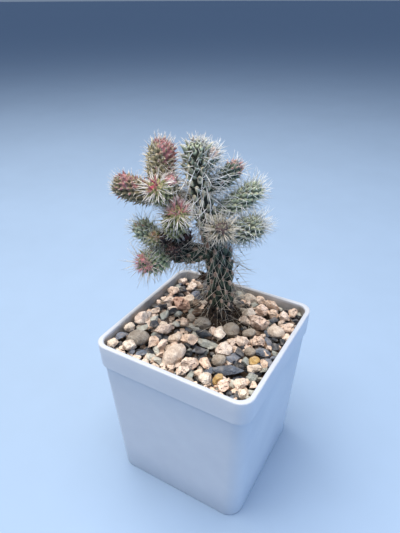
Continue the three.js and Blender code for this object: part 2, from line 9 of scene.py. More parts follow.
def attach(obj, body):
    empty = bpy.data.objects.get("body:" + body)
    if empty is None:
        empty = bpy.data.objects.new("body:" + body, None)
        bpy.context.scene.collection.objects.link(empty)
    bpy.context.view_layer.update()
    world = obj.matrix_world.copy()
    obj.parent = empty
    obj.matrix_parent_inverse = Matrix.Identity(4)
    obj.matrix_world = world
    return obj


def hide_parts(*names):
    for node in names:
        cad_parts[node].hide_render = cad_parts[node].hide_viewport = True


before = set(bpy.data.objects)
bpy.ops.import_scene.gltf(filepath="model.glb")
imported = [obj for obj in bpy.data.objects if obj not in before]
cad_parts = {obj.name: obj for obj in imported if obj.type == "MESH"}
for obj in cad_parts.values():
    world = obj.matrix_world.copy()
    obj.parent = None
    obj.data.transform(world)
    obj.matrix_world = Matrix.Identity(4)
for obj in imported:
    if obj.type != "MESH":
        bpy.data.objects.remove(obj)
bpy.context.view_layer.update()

mm = 0.001
fullTurn = 2 * math.pi
anyTurn = (0, 6.3)  # for random turns
goldenTurn = math.pi * (3 - math.sqrt(5))
upward = np.array([0.0, 0.0, 1.0])


# Camera: place and axes in the pot's frame (mm), focal length in pixels of the photograph's frame

camera = {
    "place": (82.315, -149.706, 210.781),
    "right": (0.86555, 0.50081, -0.00254),
    "down": (0.25169, -0.43936, -0.86233),
    "forward": (-0.43298, 0.74575, -0.50634),
    "focal": 463.48,
    "frame": (400, 533),
    "sensor": 36.0,
    "nearest": 0.005,
}
eye, eyeRight, eyeDown, eyeForward = (
    np.array(camera[key]) for key in ("place", "right", "down", "forward"))


def makeCamera():
    data = bpy.data.cameras.new("viewCamera")
    data.sensor_width = camera["sensor"]
    data.lens = camera["focal"] / max(camera["frame"]) * camera["sensor"]
    data.clip_start = camera["nearest"]
    data.dof.use_dof = False
    view = bpy.data.objects.new("viewCamera", data)
    turn = Matrix(np.column_stack([eyeRight, -eyeDown, -eyeForward]).tolist())
    view.matrix_world = Matrix.Translation(eye * mm) @ turn.to_4x4()
    bpy.context.scene.collection.objects.link(view)
    bpy.context.scene.camera = view


# The point (mm) at that level which the camera sees at a pixel of its frame
def underPixel(px, py, level):
    across = (px - camera["frame"][0] / 2) / camera["focal"]
    below = (py - camera["frame"][1] / 2) / camera["focal"]
    ray = eyeForward + across * eyeRight + below * eyeDown
    return eye + ray * (level - eye[2]) / ray[2]


makeCamera()
print("camera set")


# Small helpers for meshes

# points in millimetres; attributes hold a number, vector or colour for each point
def makePiece(name, points, faces=(), edges=(), **attributes):
    mesh = bpy.data.meshes.new(name)
    mesh.from_pydata((np.asarray(points, float) * mm).tolist(), list(edges), list(faces))
    kinds = {1: ("FLOAT", "value"), 3: ("FLOAT_VECTOR", "vector"), 4: ("FLOAT_COLOR", "color")}
    for label, values in attributes.items():
        values = np.asarray(values)
        kind, member = kinds[values.shape[1] if values.ndim > 1 else 1]
        whole = values.dtype.kind == "i"
        layer = mesh.attributes.new(label, "INT" if whole else kind, "POINT")
        flat = np.ascontiguousarray(values, np.int32 if whole else np.float32).ravel()
        layer.data.foreach_set(member, flat)
    mesh.update()
    piece = bpy.data.objects.new(name, mesh)
    bpy.context.scene.collection.objects.link(piece)
    return piece


def circle(radius, z, count, x=0.0, y=0.0):
    return [(x + radius * math.cos(a), y + radius * math.sin(a), z)
            for a in np.linspace(0, fullTurn, count, endpoint=False)]


# The faces between neighbouring rings of so many points
def tubeFaces(rings, count):
    return [(low + i, low + (i + 1) % count, low + count + (i + 1) % count, low + count + i)
            for low in range(0, (rings - 1) * count, count) for i in range(count)]


# Every piece rides on the one body; nodes are the solids that it stands for
def handIn(piece, slot, *nodes):
    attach(piece, "root")
    if nodes:
        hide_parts(*nodes)


# Small helpers for node trees

def findSocket(sockets, key):
    if isinstance(key, int):
        return sockets[key]
    return next(s for s in sockets if s.enabled and s.name == key)


# inputs is socket: a constant, or the output that feeds it
def addNode(tree, kind, inputs=None, **settings):
    node = tree.nodes.new(kind)
    for name, value in settings.items():
        setattr(node, name, value)
    for key, value in (inputs or {}).items():
        socket = findSocket(node.inputs, key)
        if isinstance(value, bpy.types.NodeSocket):
            tree.links.new(value, socket)
        else:
            socket.default_value = value
    return node


def mathNode(tree, operation, *values, clamp=False):
    inputs = dict(enumerate(values))
    return addNode(tree, "ShaderNodeMath", inputs, operation=operation, use_clamp=clamp).outputs[0]


def product(tree, first, *others):
    for other in others:
        first = mathNode(tree, "MULTIPLY", first, other)
    return first


def vectorNode(tree, operation, *values):
    node = addNode(tree, "ShaderNodeVectorMath", dict(enumerate(values)), operation=operation)
    return findSocket(node.outputs, "Value" if operation == "DOT_PRODUCT" else "Vector")


def scaled(tree, vector, factor):
    inputs = {0: vector, "Scale": factor}
    return addNode(tree, "ShaderNodeVectorMath", inputs, operation="SCALE").outputs[0]


def rangeNode(tree, value, low, high, newLow=0.0, newHigh=1.0, smooth=True):
    inputs = {"Value": value, "From Min": low, "From Max": high, "To Min": newLow, "To Max": newHigh}
    kind = "SMOOTHSTEP" if smooth else "LINEAR"
    return addNode(tree, "ShaderNodeMapRange", inputs, interpolation_type=kind).outputs["Result"]


def separate(tree, vector):
    return addNode(tree, "ShaderNodeSeparateXYZ", {0: vector}).outputs


def combine(tree, x, y, z):
    return addNode(tree, "ShaderNodeCombineXYZ", {"X": x, "Y": y, "Z": z}).outputs[0]


def noise(tree, place, scale, detail):
    inputs = {"Vector": place, "Scale": scale, "Detail": detail}
    return addNode(tree, "ShaderNodeTexNoise", inputs).outputs[0]


def cells(tree, place, scale):
    return addNode(tree, "ShaderNodeTexVoronoi", {"Vector": place, "Scale": scale}).outputs


def newTree(name, kind, inputs, outputs):
    tree = bpy.data.node_groups.new(name, kind)
    for label, socketType, default in inputs:
        item = tree.interface.new_socket(label, in_out="INPUT", socket_type="NodeSocket" + socketType)
        if default is not None:
            item.default_value = default
    for label, socketType in outputs:
        tree.interface.new_socket(label, in_out="OUTPUT", socket_type="NodeSocket" + socketType)
    given = tree.nodes.new("NodeGroupInput").outputs
    result = tree.nodes.new("NodeGroupOutput").inputs
    return tree, given, result


# Geometry Nodes

# A tree with the sockets that every one here has
def newGrowth(name, *inputs):
    sockets = [("Geometry", "Geometry", None), *inputs, ("Material", "Material", None)]
    return newTree(name, "GeometryNodeTree", sockets, [("Geometry", "Geometry")])


def inputField(tree, name):
    return addNode(tree, "GeometryNodeInput" + name).outputs[0]


def field(tree, name, kind="FLOAT"):
    node = addNode(tree, "GeometryNodeInputNamedAttribute", {"Name": name}, data_type=kind)
    return findSocket(node.outputs, "Attribute")


def vectorField(tree, name):
    return field(tree, name, "FLOAT_VECTOR")


def storeField(tree, geometry, name, value, kind="FLOAT"):
    inputs = {"Geometry": geometry, "Name": name, "Value": value}
    node = addNode(tree, "GeometryNodeStoreNamedAttribute", inputs, data_type=kind, domain="POINT")
    return node.outputs["Geometry"]


def randomField(tree, low, high, seed, identity=None, kind="FLOAT"):
    inputs = {"Min": low, "Max": high, "Seed": seed}
    if identity is not None:
        inputs["ID"] = identity
    node = addNode(tree, "FunctionNodeRandomValue", inputs, data_type=kind)
    return findSocket(node.outputs, "Value")


def setPosition(tree, geometry, **moves):
    return addNode(tree, "GeometryNodeSetPosition", {"Geometry": geometry, **moves}).outputs[0]


def instanceOn(tree, points, instance, **turns):
    inputs = {"Points": points, "Instance": instance, **turns}
    return addNode(tree, "GeometryNodeInstanceOnPoints", inputs).outputs[0]


def realised(tree, geometry):
    return addNode(tree, "GeometryNodeRealizeInstances", {"Geometry": geometry}).outputs[0]


# Turns the Z of what is placed the way it faces, and its Y towards the joint's tip
def faceAlong(tree, facing, toTip):
    kind = "FunctionNodeAlignRotationToVector"
    aligned = addNode(tree, kind, {"Factor": 1.0, "Vector": facing}, axis="Z")
    inputs = {"Rotation": aligned.outputs[0], "Factor": 1.0, "Vector": toTip}
    return addNode(tree, kind, inputs, axis="Y", pivot_axis="Z").outputs[0]


# Ends a tree: real geometry, shading and material
def finishGrowth(tree, geometry, given, result, sharpAngle=None):
    smooth = "GeometryNodeSetShadeSmooth"
    inputs = {"Geometry": realised(tree, geometry), "Shade Smooth": True}
    shaded = addNode(tree, smooth, inputs).outputs[0]
    if sharpAngle is not None:
        angle = addNode(tree, "GeometryNodeInputMeshEdgeAngle").outputs["Unsigned Angle"]
        inputs = {"Geometry": shaded, "Shade Smooth": mathNode(tree, "LESS_THAN", angle, sharpAngle)}
        shaded = addNode(tree, smooth, inputs, domain="EDGE").outputs[0]
    inputs = {"Geometry": shaded, "Material": given["Material"]}
    painted = addNode(tree, "GeometryNodeSetMaterial", inputs)
    tree.links.new(painted.outputs[0], result["Geometry"])
    return tree


# Runs a tree on a piece and keeps the result as its plain mesh
def growPiece(piece, tree, values):
    modifier = piece.modifiers.new(tree.name, "NODES")
    modifier.node_group = tree
    for item in tree.interface.items_tree:
        if item.in_out == "INPUT" and item.name in values:
            modifier[item.identifier] = values[item.name]
    graph = bpy.context.evaluated_depsgraph_get()
    grown = bpy.data.meshes.new_from_object(
        piece.evaluated_get(graph), preserve_all_data_layers=True, depsgraph=graph)
    piece.modifiers.clear()
    start = piece.data
    piece.data = grown
    bpy.data.meshes.remove(start)
    grown.name = piece.name


# Shaders

def opaque(colour):
    return (*colour, 1.0)


def objectPlace(tree):
    return addNode(tree, "ShaderNodeTexCoord").outputs["Object"]


def mixColour(tree, share, first, second, blend="MIX"):
    inputs = {"Factor": share, "A": first, "B": second}
    node = addNode(tree, "ShaderNodeMix", inputs, data_type="RGBA", blend_type=blend)
    return findSocket(node.outputs, "Result")


def finishGroup(tree, result, **sockets):
    for label, socket in sockets.items():
        tree.links.new(socket, result[label])
    return tree


# Two sizes of cloudy noise between two colours, with a height for bump
def makeMottleGroup():
    tree, given, result = newTree("mottle", "ShaderNodeTree", [
        ("Dark", "Color", (0.1, 0.1, 0.1, 1)), ("Light", "Color", (0.8, 0.8, 0.8, 1)),
        ("Scale", "Float", 300.0), ("Contrast", "Float", 0.3)],
        [("Color", "Color"), ("Height", "Float")])
    place = objectPlace(tree)
    broad = noise(tree, place, given["Scale"], 3.0)
    fine = noise(tree, place, product(tree, given["Scale"], 5.3), 2.0)
    blend = mathNode(tree, "MULTIPLY_ADD", fine, 0.4, product(tree, broad, 0.6))
    half = product(tree, given["Contrast"], 0.5)
    low, high = (mathNode(tree, way, 0.5, half) for way in ("SUBTRACT", "ADD"))
    colour = mixColour(tree, rangeNode(tree, blend, low, high), given["Dark"], given["Light"])
    return finishGroup(tree, result, Color=colour, Height=blend)


# Lays dust on what faces up, in patches
def makeDustGroup():
    tree, given, result = newTree("settledDust", "ShaderNodeTree", [
        ("Color", "Color", (0.5, 0.5, 0.5, 1)), ("Dust", "Color", (0.4, 0.34, 0.27, 1)),
        ("Amount", "Float", 0.3), ("Scale", "Float", 250.0)], [("Color", "Color")])
    normal = addNode(tree, "ShaderNodeNewGeometry").outputs["Normal"]
    lying = rangeNode(tree, separate(tree, normal)["Z"], 0.1, 0.95)
    spots = rangeNode(tree, noise(tree, objectPlace(tree), given["Scale"], 4.0), 0.42, 0.66)
    mask = mathNode(tree, "MULTIPLY", product(tree, lying, spots), given["Amount"], clamp=True)
    return finishGroup(tree, result, Color=mixColour(tree, mask, given["Color"], given["Dust"]))


# Cactus skin: painted shade between the tubercles, paler ridges (partly the crests' own paler colour,
# partly painted highlight), flushed where it is young
def makeSkinGroup():
    tree, given, result = newTree("cactusSkin", "ShaderNodeTree", [
        ("Crest", "Float", 0.5), ("Flush", "Float", 0.0), ("Age", "Float", 0.3),
        ("Body", "Color", (0.1, 0.15, 0.06, 1)), ("FurrowShade", "Float", 0.15), ("RidgePaleAndHighlight", "Float", 2.0),
        ("Blush", "Color", (0.4, 0.06, 0.06, 1))],
        [("Color", "Color"), ("Roughness", "Float"), ("Height", "Float")])
    place = objectPlace(tree)
    patch = noise(tree, place, 420.0, 4.0)
    grain = noise(tree, place, 2600.0, 2.0)
    shifted = mathNode(tree, "ADD", given["Crest"], mathNode(tree, "MULTIPLY_ADD", patch, 0.5, -0.25))
    # painted shade in the furrows; the crests paler, partly their own colour and partly painted highlight
    furrow = scaled(tree, given["Body"], given["FurrowShade"])
    ridge = vectorNode(tree, "ADD", scaled(tree, given["Body"], given["RidgePaleAndHighlight"]), (0.02, 0.02, 0.015))
    lower = mixColour(tree, rangeNode(tree, shifted, 0.2, 0.75), furrow, given["Body"])
    young = rangeNode(tree, given["Age"], 0.35, 0.9, 1.0, 0.25)
    upper = mixColour(tree, product(tree, rangeNode(tree, shifted, 0.5, 0.95), young), lower, ridge)
    spread = mathNode(tree, "MULTIPLY_ADD", given["Flush"], 0.6, patch)
    flushed = mixColour(tree, rangeNode(tree, spread, 0.78, 0.98), upper, given["Blush"])
    speck = rangeNode(tree, cells(tree, place, 3200.0)["Distance"], 0.12, 0.3, 0.22, 0.0)
    return finishGroup(
        tree, result,
        Color=mixColour(tree, speck, flushed, (0.55, 0.58, 0.48, 1)),
        Roughness=rangeNode(tree, grain, 0.3, 0.7, 0.5, 0.72),
        Height=mathNode(tree, "ADD", grain, product(tree, speck, 1.5)))


# A thorn from its foot to its point, with a difference from thorn to thorn
def makeThornGroup():
    tree, given, result = newTree("thornTint", "ShaderNodeTree", [
        ("Along", "Float", 0.5), ("Tint", "Float", 0.5), ("Flush", "Float", 0.0),
        ("Foot", "Color", (0.4, 0.3, 0.18, 1)), ("Shaft", "Color", (0.8, 0.74, 0.6, 1)),
        ("Point", "Color", (0.5, 0.35, 0.2, 1)), ("Blush", "Color", (0.6, 0.08, 0.1, 1)),
        ("Young", "Color", (0.9, 0.9, 0.88, 1)), ("Age", "Float", 0.3)],
        [("Color", "Color"), ("Roughness", "Float")])
    sheath = mixColour(tree, rangeNode(tree, given["Age"], 0.3, 0.85), given["Young"], given["Shaft"])
    shaft = mixColour(tree, rangeNode(tree, given["Along"], 0.0, 0.3), given["Foot"], sheath)
    pointed = mixColour(tree, rangeNode(tree, given["Along"], 0.72, 1.0), shaft, given["Point"])
    depth = rangeNode(tree, given["Tint"], 0.0, 1.0, 0.3, 1.25, smooth=False)
    flush = mathNode(tree, "MULTIPLY", given["Flush"], depth, clamp=True)
    flushed = mixColour(tree, flush, pointed, given["Blush"])
    shade = rangeNode(tree, given["Tint"], 0.0, 1.0, 0.72, 1.08, smooth=False)
    return finishGroup(
        tree, result,
        Color=scaled(tree, flushed, shade),
        Roughness=rangeNode(tree, given["Along"], 0.0, 1.0, 0.62, 0.42))


mottleGroup = makeMottleGroup()
dustGroup = makeDustGroup()
skinGroup = makeSkinGroup()
thornGroup = makeThornGroup()


def addGroup(tree, group, inputs):
    return addNode(tree, "ShaderNodeGroup", inputs, node_tree=group).outputs


# Each colour is three numbers, or the output that gives it
def addMottle(tree, dark, light, scale, contrast):
    dark, light = (tone if isinstance(tone, bpy.types.NodeSocket) else opaque(tone)
                   for tone in (dark, light))
    return addGroup(tree, mottleGroup, {
        "Dark": dark, "Light": light, "Scale": scale, "Contrast": contrast})


def meshValue(tree, name, kind="Fac"):
    return addNode(tree, "ShaderNodeAttribute", attribute_name=name).outputs[kind]


def shaderOf(material):
    return next(n for n in material.node_tree.nodes if n.type == "BSDF_PRINCIPLED")


# Constants go on the shader's own sockets
def startMaterial(name, **constants):
    material = bpy.data.materials.new(name)
    material.use_nodes = True
    for key, value in constants.items():
        shaderOf(material).inputs[key.replace("_", " ")].default_value = value
    return material, material.node_tree


# Joins colour, roughness and bump (height, strength, distance) to the shader
def finishMaterial(material, colour, roughness=None, bump=None):
    tree, shader = material.node_tree, shaderOf(material)
    tree.links.new(colour, shader.inputs["Base Color"])
    if roughness is not None:
        tree.links.new(roughness, shader.inputs["Roughness"])
    if bump is not None:
        node = addNode(tree, "ShaderNodeBump", dict(zip(("Height", "Strength", "Distance"), bump)))
        tree.links.new(node.outputs[0], shader.inputs["Normal"])
    return material


print("shader groups made")


# Pot: smooth white plastic

pot = {
    "height": 80.0, "topHalf": 37.5, "bandHeight": 12.0, "bandStep": 0.7, "bandTaper": 0.4,
    "footHalf": 33.0, "rimCorner": 6.4, "bodyCorner": 7.2, "rimWall": 2.2, "bodyWall": 1.6,
    "lipRound": 0.6, "lipSteps": 5, "floor": 3.0, "floorRound": 1.6, "footDepth": 1.2, "footWidth": 5.0,
    "padRadius": 8.0, "drainRadius": 3.0, "drainSpacing": 17.0, "cornerSteps": 12, "sharpAngle": 32,
    # the brownish colour below darkens the inner wall and far lip: partly silt, partly painted shade
    "white": (0.68, 0.71, 0.77), "shade": (0.62, 0.65, 0.72), "siltAndShade": (0.235, 0.21, 0.18),
    "siltAndShadeOnLip": 0.88, "siltAndShadeReach": 0.03, "siltAndShadePatch": 160.0, "siltAndShadeCover": (0.35, 0.7, 0.72, 1.0),
    # a bluish grey that darkens the top of the lip: painted shade
    "lipShade": (0.20, 0.235, 0.29), "lipShadeShare": 0.34,
    # noise scales of the flow lines, the fine peel and the rubbed places, and how rough those are
    "flow": 240.0, "peel": 1500.0, "rubbed": 60.0,
    "gloss": (0.35, 0.7, 0.34, 0.52), "bump": (0.12, 0.0004),
}
bandLow = pot["height"] - pot["bandHeight"]
bandLowHalf = pot["topHalf"] - pot["bandTaper"]
bodyTopHalf = bandLowHalf - pot["bandStep"]
innerTopHalf = pot["topHalf"] - pot["rimWall"]
innerBandHalf = bodyTopHalf - pot["bodyWall"]
innerFootHalf = pot["footHalf"] - pot["bodyWall"]
innerCorner = pot["bodyCorner"] - pot["bodyWall"]
innerRimCorner = pot["rimCorner"] - 1.5


def innerHalf(z):
    share = (z - pot["floor"]) / (bandLow - pot["floor"])
    return innerFootHalf + (innerBandHalf - innerFootHalf) * min(share, 1)


def squareRing(half, corner, z):
    ring = []
    for quarter, (sx, sy) in enumerate(((1, 1), (-1, 1), (-1, -1), (1, -1))):
        for step in range(pot["cornerSteps"] + 1):
            angle = math.pi / 2 * (quarter + step / pot["cornerSteps"])
            ring.append((sx * (half - corner) + corner * math.cos(angle),
                         sy * (half - corner) + corner * math.sin(angle), z))
    return ring


# Points and faces through rings of one size, outwards for rings that are anticlockwise and rise
def loftRings(rings):
    count, last = len(rings[0]), len(rings[0]) * (len(rings) - 1)
    points = [point for ring in rings for point in ring]
    ends = [tuple(range(count))[::-1], tuple(range(last, last + count))]
    return points, tubeFaces(len(rings), count) + ends


# Rings that roll over the lip from the outer wall to the inner one
def lipRings():
    radius, steps = pot["lipRound"], pot["lipSteps"]
    rings = []
    for half, corner, way, turns in (
            (pot["topHalf"], pot["rimCorner"], -1, range(steps + 1)),
            (innerTopHalf, innerRimCorner, 1, range(steps, -1, -1))):
        for k in turns:
            turn = math.pi / 2 * k / steps
            grow = way * radius * (1 - math.cos(turn))
            level = pot["height"] - radius * (1 - math.sin(turn))
            rings.append(squareRing(half + grow, corner + grow, level))
    return rings


# How far out of the pot's middle a point lies, round the corners too
def squareReach(tree, axes):
    straight = (pot["topHalf"] - pot["rimCorner"]) * mm
    squares = []
    for axis in "XY":
        beyond = mathNode(tree, "SUBTRACT", mathNode(tree, "ABSOLUTE", axes[axis]), straight)
        beyond = mathNode(tree, "MAXIMUM", beyond, 0.0)
        squares.append(product(tree, beyond, beyond))
    return mathNode(tree, "ADD", mathNode(tree, "SQRT", mathNode(tree, "ADD", *squares)), straight)


def makePotMaterial():
    material, tree = startMaterial("potPlastic", IOR=1.49, Specular_IOR_Level=0.45)
    place = objectPlace(tree)
    cloud = addMottle(tree, pot["shade"], pot["white"], 22.0, 0.5)
    # silt from watering together with painted shade: the inner wall above the gravel and the far half of
    # the lip are darkened, partly as silt, partly as painted shade
    axes = separate(tree, place)
    reach = squareReach(tree, axes)
    top = pot["height"]
    inside = rangeNode(tree, reach, (innerTopHalf + 0.3) * mm, (innerTopHalf - 0.2) * mm)
    belowLip = rangeNode(tree, axes["Z"], (top - 0.4) * mm, (top - 1.8) * mm)
    aboveBed = rangeNode(tree, axes["Z"], (bandLow - 1) * mm, (bandLow + 1) * mm)
    onLip = rangeNode(tree, reach, (pot["topHalf"] - 0.3) * mm, (innerTopHalf + 0.2) * mm)
    farHalf = rangeNode(tree, mathNode(tree, "SUBTRACT", axes["Y"], axes["X"]), 0.0, pot["siltAndShadeReach"])
    wall = product(tree, inside, belowLip, aboveBed)
    lip = product(tree, onLip, farHalf, pot["siltAndShadeOnLip"])
    siltAndShadeMask = product(tree, mathNode(tree, "MAXIMUM", wall, lip), aboveBed)
    smear = rangeNode(tree, noise(tree, place, pot["siltAndShadePatch"], 5.0), *pot["siltAndShadeCover"])
    colour = mixColour(tree, product(tree, siltAndShadeMask, smear), cloud["Color"], opaque(pot["siltAndShade"]))
    # the top of the lip is darkened all round with a bluish grey: painted shade
    worn = rangeNode(tree, axes["Z"], (top - 0.45) * mm, (top - 0.05) * mm, 0.0, pot["lipShadeShare"])
    colour = mixColour(tree, worn, colour, opaque(pot["lipShade"]))
    # a moulded skin: long faint flow lines, fine peel, a few rubbed places
    stretched = addNode(tree, "ShaderNodeMapping", {"Vector": place, "Scale": (1, 1, 0.12)}).outputs[0]
    flow = noise(tree, stretched, pot["flow"], 2.0)
    peel = noise(tree, place, pot["peel"], 2.0)
    rough = rangeNode(tree, noise(tree, place, pot["rubbed"], 5.0), *pot["gloss"])
    height = mathNode(tree, "MULTIPLY_ADD", peel, 0.35, flow)
    return finishMaterial(material, colour, rough, (height, *pot["bump"]))


# Cuts each cutter out of a piece and removes it
def cutOut(piece, cutters):
    for cutter in cutters:
        cut = piece.modifiers.new("cut", "BOOLEAN")
        cut.operation, cut.solver, cut.object = "DIFFERENCE", "EXACT", cutter
    graph = bpy.context.evaluated_depsgraph_get()
    finished = bpy.data.meshes.new_from_object(piece.evaluated_get(graph), depsgraph=graph)
    piece.modifiers.clear()
    piece.data = finished
    for cutter in cutters:
        bpy.data.objects.remove(cutter)


def makePot():
    lip, foot, body, rim = (pot[key] for key in ("lipRound", "footHalf", "bodyCorner", "rimCorner"))
    # half width, corner and height of each ring
    outside = [
        (foot - lip, body - lip, 0),
        (foot - lip * 0.3, body - lip * 0.3, lip * 0.35),
        (foot, body, lip * 1.1),
    ]
    for share in (0.25, 0.5, 0.75):
        z = bandLow * share
        outside.append((foot + (bodyTopHalf - foot) * z / (bandLow - 0.5), body, z))
    outside += [
        (bodyTopHalf - 0.03, body, bandLow - 0.75),
        (bodyTopHalf + 0.08, body, bandLow - 0.4),
        (bodyTopHalf + 0.3, body - 0.1, bandLow - 0.15),
        (bandLowHalf - 0.15, rim + 0.45, bandLow - 0.02),
        (bandLowHalf, rim + 0.4, bandLow + 0.2),
        ((bandLowHalf + pot["topHalf"]) / 2, rim + 0.2, bandLow + 6),
    ]
    floor, bend = pot["floor"], pot["floorRound"]
    inside = [
        (innerTopHalf - 0.1, innerRimCorner + 0.1, bandLow + 4),
        (innerBandHalf, innerCorner, bandLow),
        (innerFootHalf, innerCorner, floor + bend),
        (innerFootHalf - 0.5, innerCorner - 0.5, floor + 0.5),
        (innerFootHalf - bend, innerCorner - bend, floor),
    ]
    rings = [squareRing(*row) for row in outside] + lipRings() + [squareRing(*row) for row in inside]
    shell = makePiece("pot_shell", *loftRings(rings))
    recessHalf = pot["footHalf"] - pot["footWidth"]
    cutters = [makePiece("recessCutter", *loftRings([
        squareRing(recessHalf + 0.2, innerCorner, -1),
        squareRing(recessHalf, innerCorner, pot["footDepth"])]))]
    spread = pot["drainSpacing"]
    for x, y in ((spread, spread), (-spread, spread), (-spread, -spread), (spread, -spread)):
        levels = [circle(pot["drainRadius"], z, 32, x, y) for z in (-1, floor + 1)]
        cutters.append(makePiece("drainCutter", *loftRings(levels)))
    cutOut(shell, cutters)
    radius = pot["padRadius"]
    pad = makePiece("pot_foot_pad", *loftRings([
        circle(radius - 0.4, 0, 40), circle(radius, 0.4, 40),
        circle(radius, pot["footDepth"] + 0.5, 40)]))
    material = makePotMaterial()
    for piece in (shell, pad):
        piece.data.materials.clear()
        piece.data.materials.append(material)
        piece.data.shade_smooth()
        piece.data.set_sharp_from_angle(angle=math.radians(pot["sharpAngle"]))
        handIn(piece, "pot_plastic")
    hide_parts("pot")


makePot()
print("pot made")


# Soil below and between the stones

soil = {
    "seed": 5, "rings": 34, "level": 73.2, "low": 70.0, "wallRoom": 0.2, "uneven": 0.25,
    "stem": (-0.6, 13.2), "mound": 9.6, "moundWidth": 9.0,
    "dark": (0.018, 0.013, 0.010), "brown": (0.085, 0.055, 0.036), "perlite": (0.55, 0.52, 0.46),
    "bump": (0.8, 0.0008),
}


def fromStem(x, y):
    return math.hypot(x - soil["stem"][0], y - soil["stem"][1])


def roundStem(away, turn):
    return soil["stem"][0] + away * math.cos(turn), soil["stem"][1] + away * math.sin(turn)


def makeSoilMaterial(name, scale):
    material, tree = startMaterial(name, Specular_IOR_Level=0.25)
    crumb = addMottle(tree, soil["dark"], soil["brown"], scale, 0.35)
    grains = cells(tree, objectPlace(tree), scale * 1.6)
    pick = addNode(tree, "ShaderNodeSeparateColor", {0: grains["Color"]}).outputs["Red"]
    speck = rangeNode(tree, grains["Distance"], 0.35, 0.2)
    white = product(tree, rangeNode(tree, pick, 0.93, 0.96), speck)
    colour = mixColour(tree, white, crumb["Color"], opaque(soil["perlite"]))
    rough = rangeNode(tree, crumb["Height"], 0.3, 0.7, 0.8, 0.98)
    height = mathNode(tree, "ADD", crumb["Height"], product(tree, grains["Distance"], -0.5))
    return finishMaterial(material, colour, rough, (height, *soil["bump"]))


def soilLevel(x, y, rng):
    mound = soil["mound"] * math.exp(-(fromStem(x, y) / soil["moundWidth"]) ** 4)
    return soil["level"] + mound + rng.uniform(-soil["uneven"], soil["uneven"])


# The grit and soil that shows between the stones, raised round the stem
def makeSoilBed():
    rng = random.Random(soil["seed"])
    half = innerHalf(soil["level"]) - soil["wallRoom"]
    rings = [squareRing(half, innerCorner, soil["low"])]
    for k in range(soil["rings"]):
        share = 1 - k / soil["rings"]
        ring = squareRing(half * share, innerCorner * share, 0)
        rings.append([(x, y, soilLevel(x, y, rng)) for x, y, _ in ring])
    bed = makePiece("soil_bed", *loftRings(rings))
    bed.data.materials.append(makeSoilMaterial("gritAndSoil", 700.0))
    bed.data.shade_smooth()
    handIn(bed, "potting_soil")


makeSoilBed()
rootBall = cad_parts["soil"]
rootBall.data.materials.clear()
rootBall.data.materials.append(makeSoilMaterial("pottingMix", 420.0))
print("soil made")


# Stones: each is a ball that is chipped by its own planes, stretched, turned and roughened

# Kind: how deep it is chipped, height beside width, pores, colours
stoneKinds = {
    "beige": (1.0, 0.8, 1.2, ((0.90, 0.74, 0.62), (0.88, 0.69, 0.55), (0.92, 0.78, 0.67))),
    "porous": (0.9, 0.85, 2.2, ((0.92, 0.73, 0.60), (0.90, 0.70, 0.57))),
    "rosy": (0.85, 0.85, 2.2, ((0.72, 0.47, 0.36),)),
    "cream": (0.75, 0.75, 0.8, ((0.90, 0.80, 0.69), (0.87, 0.75, 0.62))),
    "smooth": (0.15, 0.7, 0.4, ((0.68, 0.58, 0.49),)),
    "taupe": (0.35, 0.8, 0.4, ((0.34, 0.31, 0.27), (0.40, 0.35, 0.29))),
    "brown": (0.9, 0.8, 1.2, ((0.20, 0.13, 0.09), (0.25, 0.17, 0.12))),
    "slate": (0.75, 0.42, 0.2, ((0.17, 0.20, 0.26), (0.13, 0.16, 0.21))),
    "dark": (1.15, 0.55, 0.3, ((0.020, 0.026, 0.036), (0.04, 0.05, 0.065), (0.08, 0.09, 0.11))),
    "grey": (1.1, 0.6, 0.4, ((0.46, 0.49, 0.45), (0.32, 0.35, 0.33), (0.60, 0.61, 0.55))),
    "ochre": (0.6, 0.8, 0.6, ((0.56, 0.38, 0.15), (0.46, 0.29, 0.11))),
    "peat": (1.2, 0.5, 1.0, ((0.045, 0.026, 0.018), (0.085, 0.05, 0.034), (0.022, 0.015, 0.012))),
}

